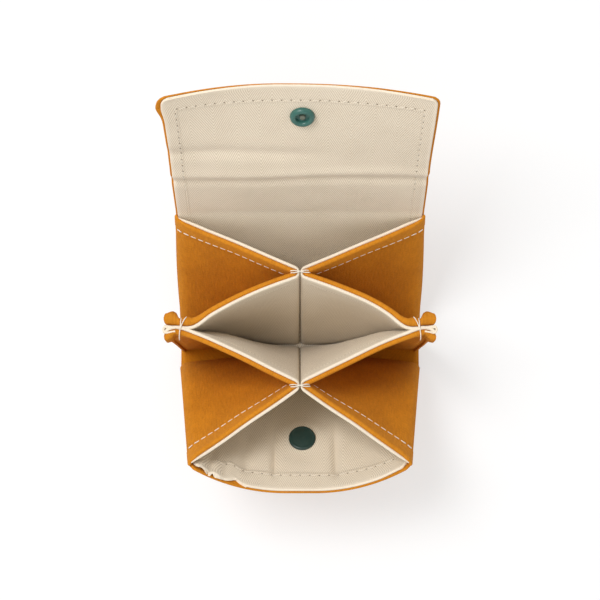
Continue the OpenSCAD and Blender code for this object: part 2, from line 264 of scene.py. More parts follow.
class Shape:
    """The faces that canvas and lining share, as functions of two shares."""

    def __init__(self, cut: Cut, creases: Creases) -> None:
        """Keeps the sizes and the places of the folds."""
        self.cut = cut
        self.creases = creases

    def foot(self, lean: float) -> float:
        """How far above the fold a leaning panel starts, clear of the floor."""
        c, k, a = self.cut, self.creases, math.radians(lean)
        return (c.floor_z + c.cloth_gap - k.hinge_z + c.canvas_t * math.sin(a)) / math.cos(a)

    def bow(self, x_share: np.ndarray) -> np.ndarray:
        """Share of a bow across a panel: none in its middle, all at its sides."""
        flat = self.cut.bow_flat
        return np.maximum(0, np.abs(x_share) - flat) ** 2 / (1 - flat) ** 2

    def on_panel(self, lean: float, x: np.ndarray, along: np.ndarray, out: np.ndarray) -> np.ndarray:
        """A point of a leaning panel, from its place across, up and out of it.

        Args:
            lean: Degrees that the cloth leans from upright.
            x: Distance to the right of the wallet's middle.
            along: Distance up the cloth from its fold.
            out: Distance out of the cloth.

        Returns:
            The points.
        """
        p = along[..., None] * up_slope(lean) + out[..., None] * out_of(lean)
        p[..., 0] += x
        p[..., 1] += self.creases.hinge_y
        p[..., 2] += self.creases.hinge_z
        return p

    def back(self, x_share: np.ndarray, v: np.ndarray) -> np.ndarray:
        """The back panel, up to the first crease at v 1.

        Args:
            x_share: Share of the half width, from -1 at the left to 1 at the right.
            v: Share up.

        Returns:
            The points.
        """
        c = self.cut
        top = c.panel_h + c.flap_stand
        half = mix(c.body_w / 2, c.back_half, v)
        along = mix(self.foot(c.back_lean), top, v)
        return self.on_panel(c.back_lean, half * x_share, along, 0 * v)

    def front_behind(self, x_share: np.ndarray, v: np.ndarray) -> np.ndarray:
        """The front panel, as if it stood behind.

        Args:
            x_share: Share of the half width, from -1 at the left to 1 at the right.
            v: Share up.

        Returns:
            The points.
        """
        c = self.cut
        half = mix(c.body_w / 2, c.body_w / 2 - c.front_draw, v)
        drawn = c.front_bow * self.bow(x_share) * v
        along = mix(self.foot(c.front_lean), c.panel_h, v)
        past = along - c.stud_up
        near = np.exp(-((half * x_share - c.snap_x) ** 2 + past**2) / c.stud_reach**2)
        dip = c.front_dip * 27 / 4 * v * (1 - v) ** 2
        out = -drawn - dip + math.tan(math.radians(c.stud_tilt)) * past * near
        return self.on_panel(c.front_lean, half * x_share, along - drawn**2 / (2 * c.panel_h), out)

    def front(self, x_share: np.ndarray, v: np.ndarray) -> np.ndarray:
        """The front panel in its place."""
        return self.front_behind(x_share, v) * np.array([1, -1, 1])

    def flap(self, crease: np.ndarray, lean: float, x: np.ndarray, along: np.ndarray) -> np.ndarray:
        """A flat length of the flap, up from one of its creases.

        Args:
            crease: The middle of the crease.
            lean: Degrees that the cloth leans from upright.
            x: Distance to the right of the wallet's middle.
            along: Distance up the cloth from its fold.

        Returns:
            The points.
        """
        p = crease + along[..., None] * up_slope(lean) + self.cut.lining_t * out_of(lean)
        p[..., 0] += x
        return p

    def seam(self, row: Row, v: np.ndarray) -> np.ndarray:
        """Where a gusset is sewn to its panel, on the right and as if behind.

        Args:
            row: The back or the front row of folds.
            v: Share up.

        Returns:
            The points.
        """
        c = self.cut
        share = np.full_like(v, 1 - 2 * c.seam_inset / c.body_w)
        if row is Row.BACK:
            lean, top = c.back_lean, c.panel_h + c.flap_stand
            half = mix(c.body_w / 2, c.back_half, v * c.panel_h / top)
            on = self.on_panel(lean, half * share, mix(self.foot(lean), c.panel_h, v), 0 * v)
        else:
            lean = c.front_lean
            on = self.front_behind(share, v)
        return on - (2 * c.lining_t + c.seam_gap) * out_of(lean)

    def tie(self, row: Row, v: np.ndarray) -> np.ndarray:
        """The centre of a tied fold, on the right and as if behind.

        Args:
            row: The back or the front row of folds.
            v: Share up.

        Returns:
            The points.
        """
        c = self.cut
        lean = c.back_tie_lean if row is Row.BACK else c.front_tie_lean
        start = np.array([c.fold_x, c.tie_foot, c.floor_z + c.cloth_gap])
        tie = start + (v * c.gusset_h)[..., None] * up_slope(lean)
        top = tie[..., 1] + (1 - v) * c.gusset_h * math.sin(math.radians(lean))
        tie[..., 1] = mix(c.foot_y, top, self.parted(0 * v, v))
        return tie

    def parted(self, x: np.ndarray, v: np.ndarray) -> np.ndarray:
        """How far the inner legs have parted: 0 where they touch, 1 at the top.

        Args:
            x: Distance from the wallet's middle.
            v: Share up.

        Returns:
            Shares from 0 to 1.
        """
        c = self.cut
        touch = np.minimum(c.part_most, (np.abs(x) / c.part_x) ** c.part_power)
        rise = np.maximum(0, v - touch) / (1 - touch)
        return np.sqrt(rise**2 + c.part_soft**2 * (1 - rise)) - c.part_soft * (1 - rise)

    def pinch(self, v: np.ndarray) -> np.ndarray:
        """The pinched fold, on the right and as if behind.

        Args:
            v: Share up.

        Returns:
            The points.
        """
        c = self.cut
        x = mix(c.body_w / 2 - c.seam_inset, c.body_w / 2 + c.pinch_out, v)
        return np.stack([x, np.full_like(v, c.pinch_y), c.floor_z + c.cloth_gap + v * c.gusset_h], -1)

    def bend(self, tie: np.ndarray, angle: np.ndarray) -> np.ndarray:
        """A point round a tied fold, at an angle in radians from its front."""
        turned = np.stack([-np.cos(angle), np.sin(angle), 0 * angle], -1)
        return tie + self.cut.fold_mid_r * turned

    def edge(self, row: Row, v: np.ndarray) -> np.ndarray:
        """The panel's right edge beside a gusset's seam, as if behind.

        Args:
            row: The back or the front row of folds.
            v: Share up.

        Returns:
            The points.
        """
        c = self.cut
        if row is Row.FRONT:
            return self.front_behind(np.full_like(v, c.edge_share), v)
        return self.back(np.full_like(v, c.edge_share), v * c.panel_h / (c.panel_h + c.flap_stand))

    def outer_leg(self, row: Row, u: np.ndarray, v: np.ndarray) -> np.ndarray:
        """From a gusset's seam at u 0 to the middle of its tied fold at u 1.

        Args:
            row: The back or the front row of folds.
            u: Share across.
            v: Share up.

        Returns:
            The points.
        """
        seam, tie = self.seam(row, v), self.tie(row, v)
        turn = math.pi / 2 - np.arctan2(seam[..., 1] - tie[..., 1], seam[..., 0] - tie[..., 0])
        straight = np.clip(u / FOLD_FROM, 0, 1)[..., None]
        leg = mix(seam, self.bend(tie, turn), straight)
        return np.where(
            (u <= FOLD_FROM)[..., None],
            leg,
            self.bend(tie, turn * (1 - np.clip((u - FOLD_FROM) / (1 - FOLD_FROM), 0, 1))),
        )

    def inner_leg(self, row: Row, u: np.ndarray, v: np.ndarray) -> np.ndarray:
        """From the middle of a gusset's tied fold at u 0 to its pinched fold at u 1.

        Args:
            row: The back or the front row of folds.
            u: Share across.
            v: Share up.

        Returns:
            The points.
        """
        c = self.cut
        tie, pinch = self.tie(row, v), self.pinch(v)
        hug = c.back_hug if row is Row.BACK else c.front_hug
        turn = math.pi / 2 - np.arctan2(tie[..., 1] - pinch[..., 1], pinch[..., 0] - tie[..., 0])
        b = self.bend(tie, -turn)
        share = ((pinch[..., 0] - hug - b[..., 0]) / (pinch[..., 0] - b[..., 0]))[..., None]
        knee = mix(b, pinch, share)
        t = np.clip((u - 1 + FOLD_FROM) / FOLD_FROM, 0, 1)[..., None]
        leg = mix(mix(b, knee, t), mix(knee, pinch, t), t)
        past_fold = (u >= 1 - FOLD_FROM)[..., None]
        return np.where(past_fold, self.touching(row, leg, t[..., 0], v), self.turn_in(tie, turn, u))

    def turn_in(self, tie: np.ndarray, turn: np.ndarray, u: np.ndarray) -> np.ndarray:
        """The half of a tied fold that belongs to the inner leg."""
        return self.bend(tie, -turn * np.clip(u / (1 - FOLD_FROM), 0, 1))

    def touching(self, row: Row, leg: np.ndarray, t: np.ndarray, v: np.ndarray) -> np.ndarray:
        """Presses the two rows' inner legs together below the open mouth.

        Args:
            row: The back or the front row of folds.
            leg: Points of the leg, which are changed.
            t: Share of the straight leg, from its tied fold.
            v: Share up.

        Returns:
            The changed points.
        """
        c = self.cut
        top = self.tie(row, np.ones_like(v))[..., 1] - c.fold_mid_r
        at_top = self.hem_line(row, t, top)
        low = mix(c.foot_y - c.fold_mid_r, c.pinch_y, np.clip(4 * t, 0, 1))
        leg[..., 1] = mix(low, at_top, self.parted(leg[..., 0], v))
        middle = np.sin(np.pi * np.clip(v, 0, 1)) * np.sin(np.pi * np.clip(t / c.lean_end, 0, 1))
        leg[..., 1] += row.value * c.lean_back * middle
        return leg

    def hem_line(self, row: Row, t: np.ndarray, top: np.ndarray) -> np.ndarray:
        """How far back an inner leg's hem is, from its fold at t 0 to its pinch at t 1.

        Args:
            row: The back or the front row of folds.
            t: Share of the straight leg, from its tied fold.
            top: How far back the hem is at the tied fold.

        Returns:
            How far back each point is.
        """
        c = self.cut
        knee, corner, bulge = c.back_knee if row is Row.BACK else c.front_knee
        straight = mix(top, corner, t / knee) + bulge * np.sin(np.pi * np.clip(t / knee, 0, 1))
        hugging = mix(corner, c.pinch_y, (t - knee) / (1 - knee))
        soft = smooth(t, knee - c.knee_soft, knee + c.knee_soft)
        return mix(straight, hugging, soft)


@dataclass(frozen=True)
class Hems:
    """The hems round a sheet of cloth.

    Each border has the width of its hem, and a border whose width is 0 is a
    plain cut inside a seam. The fold is the length of a tight fold, at the
    sheet's start if it is negative and at its end if it is positive.
    """

    start: float = 0.0
    end: float = 0.0
    foot: float = 0.0
    top: float = 0.0
    thick: float = 1.0 * MM
    plain: float = 1.0 * MM
    fold: float = 0.0

    @property
    def groove(self) -> float:
        """Thickness under the topstitching."""
        return self.thick - 0.2 * self.plain


def steps(length: float, count: int, radius: float, first: float, last: float, fold: float) -> np.ndarray:
    """Places along one side of a sheet, close together at a hem or a fold.

    Args:
        length: Length of that side.
        count: Number of even steps between the hems.
        radius: Radius of a rounded hem.
        first: Width of the hem that the side starts at, or 0.
        last: Width of the hem that it ends at, or 0.
        fold: Length of a fold, at the start if negative and at the end if positive.

    Returns:
        Shares of the side, from 0 to 1.
    """
    turn = radius * (1 - np.cos(np.radians([0, 20, 40, 60, 80])))
    groove = np.array([0.75, 0.8, 0.83, 0.86, 0.89, 0.92, 0.96, 1.02, 1.08])
    bend = np.linspace(0, abs(fold), 9)
    start = radius if first else max(0.0, -fold)
    end = length - (radius if last else max(0.0, fold))
    parts = [np.linspace(start, end, count + 1)]
    if first:
        parts += [turn, first * groove]
    if last:
        parts += [length - turn, length - last * groove]
    if fold:
        parts.append(length - bend if fold > 0 else bend)
    places = np.sort(np.concatenate(parts))
    closest = 0.06 * MM
    far = np.concatenate([[True], np.diff(places) > closest])
    far[-1] = True
    if places[-1] - places[far][-2] < closest:
        far[np.flatnonzero(far)[-2]] = False
    return places[far] / length


def cloth(
    name: str,
    surface: Surface,
    layer: Layer,
    size: tuple[float, float],
    count: tuple[int, int],
    hems: Hems,
    flipped: bool = False,
    uv_from: tuple[float, float] = (0.0, 0.0),
    swell: Surface | None = None,
) -> bpy.types.Object:
    """Makes one closed sheet of cloth on one side of a shared face.

    Args:
        name: The piece's name.
        surface: The shared face, as a function of the shares across and up.
        layer: Which side of the face the cloth lies on.
        size: The cloth's width and height.
        count: Steps across and up.
        hems: The rounded borders and the thicknesses.
        flipped: Whether the face's own normal points to the canvas.
        uv_from: Where the cloth's weave starts, across and up.
        swell: Thickness to add, as a function of the distances from the end and the top.

    Returns:
        The new object, with its weave's coordinates in metres.
    """
    r = hems.thick / 2
    us = steps(size[0], count[0], r, hems.start, hems.end, hems.fold)
    vs = steps(size[1], count[1], r, hems.foot, hems.top, 0.0)
    u, v = np.meshgrid(us, vs)
    p = surface(u, v)
    du = np.gradient(p, us, axis=1)
    dv = np.gradient(p, vs, axis=0)
    normal = unit(np.cross(du, dv)) * (-1 if flipped else 1) * layer.value
    sides = [
        (hems.start, u * size[0]),
        (hems.end, (1 - u) * size[0]),
        (hems.foot, v * size[1]),
        (hems.top, (1 - v) * size[1]),
    ]
    beyond = np.full_like(u, 1.0)
    edge = np.min([d for width, d in sides if width] + [beyond], axis=0)
    share = np.min([d / width for width, d in sides if width] + [2 * beyond], axis=0)
    hem = 1 - smooth(share, 0.93, 1.07)
    pressed = 0 * u
    if hems.fold:
        pressed = hump((1 - u if hems.fold > 0 else u) * size[0], 0.0, 2.5 * MM)
        if hems.fold > 0:
            pressed = pressed + 0.8 * hump(u * size[0], 0.0, 4 * MM)
    t = mix(hems.plain, hems.thick, hem * (1 - pressed))
    t = t - 0.2 * hems.plain * hump(share, STITCH_AT, 0.035) * (1 - pressed)
    if swell is not None:
        t = t + swell((1 - u) * size[0], (1 - v) * size[1])
    r = np.maximum(r, 0.45 * t)
    half = t / 2 * np.sqrt(np.maximum(0, 1 - (1 - np.minimum(edge / r, 1)) ** 2))
    centre = p + normal * (t / 2)[..., None]
    faces = (centre - normal * half[..., None], centre + normal * half[..., None])
    across = u * size[0] + uv_from[0] + 4.1 * MM * (share < 1)
    rim = 1 - smooth(edge, 0.5 * MM, 2.0 * MM)
    return sheet_mesh(name, faces, (across, v * size[1] + uv_from[1]), {"hem": hem, "rim": rim})


def sheet_mesh(
    name: str,
    faces: tuple[np.ndarray, np.ndarray],
    weave: tuple[np.ndarray, np.ndarray],
    wear: dict[str, np.ndarray],
) -> bpy.types.Object:
    """Extrudes a grid to a closed sheet and lays it between two faces.

    Args:
        name: The piece's name.
        faces: The points of the sheet's two faces, each as a grid.
        weave: Each point's place across and up the cloth.
        wear: What the materials need to know of each point, by name.

    Returns:
        The new object.
    """
    nv, nu = weave[0].shape
    bpy.ops.object.select_all(action="DESELECT")
    bpy.ops.mesh.primitive_grid_add(x_subdivisions=nu - 1, y_subdivisions=nv - 1, size=2, location=(0, 0, 0))
    obj = bpy.context.object
    obj.name = name
    obj.data.name = name
    bpy.ops.object.mode_set(mode="EDIT")
    bpy.ops.mesh.select_all(action="SELECT")
    bpy.ops.mesh.extrude_region_move(TRANSFORM_OT_translate={"value": (0, 0, 1)})
    bpy.ops.object.mode_set(mode="OBJECT")
    mesh = obj.data
    flat = np.zeros(len(mesh.vertices) * 3)
    mesh.vertices.foreach_get("co", flat)
    flat = flat.reshape(-1, 3)
    i = np.rint((flat[:, 0] + 1) / 2 * (nu - 1)).astype(int)
    j = np.rint((flat[:, 1] + 1) / 2 * (nv - 1)).astype(int)
    k = np.rint(flat[:, 2]).astype(int)
    mesh.vertices.foreach_set("co", np.stack(faces)[k, j, i].ravel())
    loops = np.zeros(len(mesh.loops), int)
    mesh.loops.foreach_get("vertex_index", loops)
    places = np.stack([weave[0][j, i], weave[1][j, i]], -1)
    mesh.uv_layers[0].name = "UVMap"
    mesh.uv_layers[0].data.foreach_set("uv", places[loops].astype(np.float32).ravel())
    for key, values in wear.items():
        attribute = mesh.attributes.new(key, "FLOAT", "POINT")
        attribute.data.foreach_set("value", values[j, i].astype(np.float32))
    mesh.update()
    bpy.ops.object.mode_set(mode="EDIT")
    bpy.ops.mesh.select_all(action="SELECT")
    bpy.ops.mesh.remove_doubles(threshold=2e-6)
    bpy.ops.mesh.normals_make_consistent(inside=False)
    bpy.ops.object.mode_set(mode="OBJECT")
    bpy.ops.object.shade_smooth_by_angle(angle=math.radians(50))
    return obj


def select_only(obj: bpy.types.Object) -> None:
    """Selects one object and nothing else.

    Args:
        obj: The piece.
    """
    bpy.ops.object.select_all(action="DESELECT")
    obj.select_set(True)
    bpy.context.view_layer.objects.active = obj


class Nodes:
    """A short way to write a material's nodes."""

    def __init__(self, name: str) -> None:
        """Starts a material with a shader and its output.

        Args:
            name: The material's name.
        """
        self.material = bpy.data.materials.new(name)
        self.material.use_nodes = True
        self.tree = self.material.node_tree
        self.tree.nodes.clear()
        self.output = self.add("ShaderNodeOutputMaterial")

    def add(self, kind: str, **settings: object) -> bpy.types.Node:
        """Adds a node and sets its properties.

        Args:
            kind: The node's type.
            **settings: Its properties.

        Returns:
            The new node.
        """
        node = self.tree.nodes.new(kind)
        for key, value in settings.items():
            setattr(node, key, value)
        return node

    def put(self, node: bpy.types.Node, **sockets: object) -> bpy.types.Node:
        """Sets or links a node's sockets by name, with _ for a blank.

        Args:
            node: The node.
            **sockets: Values or sockets for its inputs.

        Returns:
            The same node.
        """
        for key, value in sockets.items():
            self.join(value, node.inputs[key.replace("_", " ")])
        return node

    def join(self, value: object, socket: bpy.types.NodeSocket) -> None:
        """Links a socket to another, or sets its value.

        Args:
            value: A socket, or a plain value.
            socket: The input that takes it.
        """
        if isinstance(value, bpy.types.NodeSocket):
            self.tree.links.new(value, socket)
        else:
            socket.default_value = value

    def math(self, operation: str, a: object, b: object = 0.0, c: object = 0.0) -> bpy.types.NodeSocket:
        """One step of arithmetic.

        Args:
            operation: The step's name.
            a: First input.
            b: Second input.
            c: Third input, where the step has one.

        Returns:
            The result's socket.
        """
        node = self.add("ShaderNodeMath", operation=operation)
        for value, socket in zip((a, b, c), node.inputs):
            self.join(value, socket)
        return node.outputs[0]

    def noise(self, vector: object, scale: float, detail: float = 3.0) -> bpy.types.NodeSocket:
        """Noise from 0 to 1."""
        node = self.put(self.add("ShaderNodeTexNoise"), Vector=vector, Scale=scale, Detail=detail)
        return node.outputs["Fac"]

    def ramp(self, factor: object, stops: list[tuple[float, tuple]]) -> bpy.types.NodeSocket:
        """Colours along a factor.

        Args:
            factor: The place along the colours, or the second one's share.
            stops: Places and their colours.

        Returns:
            The colour's socket.
        """
        node = self.add("ShaderNodeValToRGB")
        ramp = node.color_ramp
        while len(ramp.elements) < len(stops):
            ramp.elements.new(0.5)
        for element, (place, colour) in zip(ramp.elements, stops):
            element.position = place
            element.color = (*colour, 1.0)
        self.join(factor, node.inputs["Fac"])
        return node.outputs["Color"]

    def shade(self, a: object, b: object, factor: object, blend: str = "MIX") -> bpy.types.NodeSocket:
        """Mixes two colours.

        Args:
            a: First input.
            b: Second input.
            factor: The place along the colours, or the second one's share.
            blend: How the colours are mixed.

        Returns:
            The colour's socket.
        """
        node = self.add("ShaderNodeMix", data_type="RGBA", blend_type=blend)
        self.join(factor, node.inputs[0])
        self.join(a, node.inputs[6])
        self.join(b, node.inputs[7])
        return node.outputs[2]

    def finished(self, colour: object, height: object, bump: tuple, **shading: object) -> bpy.types.Material:
        """Ends the material with a bump and its shader.

        Args:
            colour: The base colour.
            height: The relief that the bump shows.
            bump: The bump's strength and distance.
            **shading: The shader's other inputs.

        Returns:
            The material.
        """
        strength, distance = bump
        relief = self.put(self.add("ShaderNodeBump"), Strength=strength, Distance=distance, Height=height)
        shader = self.add("ShaderNodeBsdfPrincipled")
        self.put(shader, Base_Color=colour, Normal=relief.outputs["Normal"], **shading)
        self.put(self.output, Surface=shader.outputs["BSDF"])
        return self.material


@dataclass(frozen=True)
class CanvasFinish:
    """Mustard cotton canvas, plain woven, a little worn at its hems."""

    name: str = "mustard_canvas"
    dark: tuple = (0.44, 0.142, 0.0045)
    light: tuple = (0.72, 0.268, 0.0115)
    worn: tuple = (0.66, 0.27, 0.03)
    pitch: float = 0.62 * MM

    def material(self) -> bpy.types.Material:
        """Builds the weave, the uneven dye, the nap and the wear.

        Returns:
            The material.
        """
        n = Nodes(self.name)
        uv = n.add("ShaderNodeUVMap", uv_map="UVMap").outputs["UV"]
        place = n.put(n.add("ShaderNodeSeparateXYZ"), Vector=uv)
        turn = 2 * math.pi / self.pitch
        warp = n.math("SINE", n.math("MULTIPLY", place.outputs["X"], turn))
        weft = n.math("SINE", n.math("MULTIPLY", place.outputs["Y"], turn))
        weave = n.math("MULTIPLY_ADD", n.math("MULTIPLY", warp, weft), 0.5, 0.5)
        slub = n.noise(uv, 900.0, 2.0)
        dye = n.noise(uv, 45.0, 4.0)
        long = n.put(n.add("ShaderNodeMapping"), Vector=uv, Scale=(1100.0, 170.0, 1.0))
        streak = n.noise(long.outputs["Vector"], 1.0, 3.0)
        tone = n.math("MULTIPLY_ADD", weave, 0.25, n.math("MULTIPLY", slub, 0.3))
        tone = n.math("MULTIPLY_ADD", streak, 0.35, tone)
        tone = n.math("MULTIPLY_ADD", dye, 0.35, n.math("MULTIPLY", tone, 0.8))
        colour = n.ramp(tone, [(0.36, self.dark), (0.72, self.light)])
        hem = n.add("ShaderNodeAttribute", attribute_name="hem").outputs["Fac"]
        rub = n.math("MULTIPLY", hem, n.math("MULTIPLY", slub, 0.55))
        colour = n.shade(colour, (*self.worn, 1.0), rub)
        height = n.math("MULTIPLY_ADD", weave, 0.5, n.math("ADD", slub, streak))
        sheen = {"Sheen_Weight": 0.06, "Sheen_Roughness": 0.5, "Sheen_Tint": (0.9, 0.55, 0.2, 1.0)}
        return n.finished(colour, height, (0.7, 0.3 * MM), Roughness=0.88, Specular_IOR_Level=0.15, **sheen)


@dataclass(frozen=True)
class LiningFinish:
    """Off-white cotton twill woven in herringbone columns."""

    name: str = "herringbone_lining"
    groove: tuple = (0.53, 0.435, 0.315)
    ridge: tuple = (0.85, 0.755, 0.615)
    column: float = 9.6 * MM
    pitch: float = 0.95 * MM
    steepness: float = 0.49

    def material(self) -> bpy.types.Material:
        """Builds the chevrons, the threads' ridges and a faint unevenness.

        Returns:
            The material.
        """
        n = Nodes(self.name)
        uv = n.add("ShaderNodeUVMap", uv_map="UVMap").outputs["UV"]
        place = n.put(n.add("ShaderNodeSeparateXYZ"), Vector=uv)
        zigzag = n.math("PINGPONG", place.outputs["X"], self.column)
        along = n.math("MULTIPLY", place.outputs["Y"], self.steepness)
        wobble = n.math("MULTIPLY", n.noise(uv, 160.0, 2.0), 0.35 * MM)
        phase = n.math("ADD", n.math("ADD", zigzag, along), wobble)
        line = n.math("SINE", n.math("MULTIPLY", phase, 2 * math.pi / self.pitch))
        rim = n.add("ShaderNodeAttribute", attribute_name="rim").outputs["Fac"]
        calm = n.math("MULTIPLY_ADD", rim, -0.45, 0.5)
        twill = n.math("MULTIPLY_ADD", line, calm, n.math("MULTIPLY_ADD", rim, 0.25, 0.5))
        yarn = n.noise(uv, 1500.0, 2.0)
        cloud = n.noise(uv, 60.0, 3.0)
        tone = n.math("MULTIPLY_ADD", twill, 0.55, n.math("MULTIPLY", yarn, 0.3))
        tone = n.math("MULTIPLY_ADD", cloud, 0.25, tone)
        colour = n.ramp(tone, [(0.12, self.groove), (0.75, self.ridge)])
        height = n.math("MULTIPLY_ADD", twill, 0.7, n.math("MULTIPLY", yarn, 0.3))
        sheen = {"Sheen_Weight": 0.15, "Sheen_Roughness": 0.5}
        return n.finished(colour, height, (0.4, 0.22 * MM), Roughness=0.85, Specular_IOR_Level=0.2, **sheen)


@dataclass(frozen=True)
class ThreadFinish:
    """White cotton thread, twisted."""

    name: str
    shade: tuple = (0.66, 0.58, 0.47)
    light: tuple = (0.88, 0.81, 0.70)

    def material(self) -> bpy.types.Material:
        """Builds the twist and the fuzz.

        Returns:
            The material.
        """
        n = Nodes(self.name)
        place = n.add("ShaderNodeTexCoord").outputs["Object"]
        wave = n.add("ShaderNodeTexWave", bands_direction="DIAGONAL")
        twist = n.put(wave, Vector=place, Scale=900.0)
        fuzz = n.noise(place, 2500.0)
        tone = n.math("MULTIPLY_ADD", twist.outputs["Fac"], 0.5, n.math("MULTIPLY", fuzz, 0.5))
        colour = n.ramp(tone, [(0.1, self.shade), (0.7, self.light)])
        return n.finished(colour, tone, (0.4, 0.1 * MM), Roughness=0.8, Sheen_Weight=0.3)


@dataclass(frozen=True)
class ResinFinish:
    """Moulded resin of a snap, satin, with fine handling marks."""

    name: str
    colour: tuple
    pale: tuple
    roughness: float

    def material(self) -> bpy.types.Material:
        """Builds the moulded colour, its clouding and the handling marks.

        Returns:
            The material.
        """
        n = Nodes(self.name)
        place = n.add("ShaderNodeTexCoord").outputs["Object"]
        cloud = n.noise(place, 260.0, 4.0)
        grain = n.noise(place, 2600.0, 3.0)
        colour = n.ramp(cloud, [(0.3, self.colour), (0.8, self.pale)])
        rough = n.math("MULTIPLY_ADD", grain, 0.16, self.roughness - 0.08)
        return n.finished(colour, grain, (0.12, 0.1 * MM), Roughness=rough, Specular_IOR_Level=0.45)


@dataclass
class Finishes:
    """The wallet's materials, each made once."""

    canvas: bpy.types.Material
    lining: bpy.types.Material
    thread: bpy.types.Material
    pale_thread: bpy.types.Material
    # Dark thread that paints the shadow inside the stitch holes.
    hole_shadow: bpy.types.Material
    cap: bpy.types.Material
    socket: bpy.types.Material
    pin: bpy.types.Material

    @staticmethod
    def make() -> Finishes:
        """Makes them all.

        Returns:
            The finishes.
        """
        return Finishes(
            canvas=CanvasFinish().material(),
            lining=LiningFinish().material(),
            thread=ThreadFinish("white_thread").material(),
            pale_thread=ThreadFinish("lining_thread", (0.62, 0.54, 0.42), (0.80, 0.72, 0.60)).material(),
            # Dark thread put where the stitches dive into the lining: painted shadow in the stitch holes.
            hole_shadow=ThreadFinish("sunk_thread", (0.10, 0.065, 0.03), (0.22, 0.16, 0.10)).material(),
            cap=ResinFinish("cap_resin", (0.010, 0.034, 0.029), (0.016, 0.048, 0.041), 0.36).material(),
            socket=ResinFinish("socket_resin", (0.030, 0.112, 0.095), (0.045, 0.15, 0.125), 0.3).material(),
            pin=ResinFinish("pin_resin", (0.13, 0.145, 0.11), (0.18, 0.2, 0.155), 0.45).material(),
        )

    def cloth(self, layer: Layer) -> bpy.types.Material:
        """The material of a layer of cloth."""
        return self.canvas if layer is Layer.CANVAS else self.lining


def dress(obj: bpy.types.Object, material: bpy.types.Material) -> bpy.types.Object:
    """Gives a piece its material.

    Args:
        obj: The piece.
        material: Its material.

    Returns:
        The same piece.
    """
    obj.data.materials.clear()
    obj.data.materials.append(material)
    return obj


def lifted(across: np.ndarray, past: np.ndarray) -> np.ndarray:
    """How far the front lining stands off its canvas under the tilted cap.

    Args:
        across: Distance across from the cap's middle.
        past: Distance up the cloth from its middle.

    Returns:
        The lift.
    """
    reach = 10.5 * MM
    near = np.exp(-((across**2 + past**2) ** 2) / reach**4)
    return math.tan(math.radians(CAP_TILT)) * (CAP_R - past) * near


def hems_of(layer: Layer, thick: float | None = None, **widths: float) -> Hems:
    """The hems of a layer of cloth, with its own thicknesses."""
    doubled, plain = (CANVAS_HEM, CANVAS_PLAIN) if layer is Layer.CANVAS else (LINING_HEM, LINING_PLAIN)
    return Hems(thick=doubled if thick is None else thick, plain=plain, **widths)


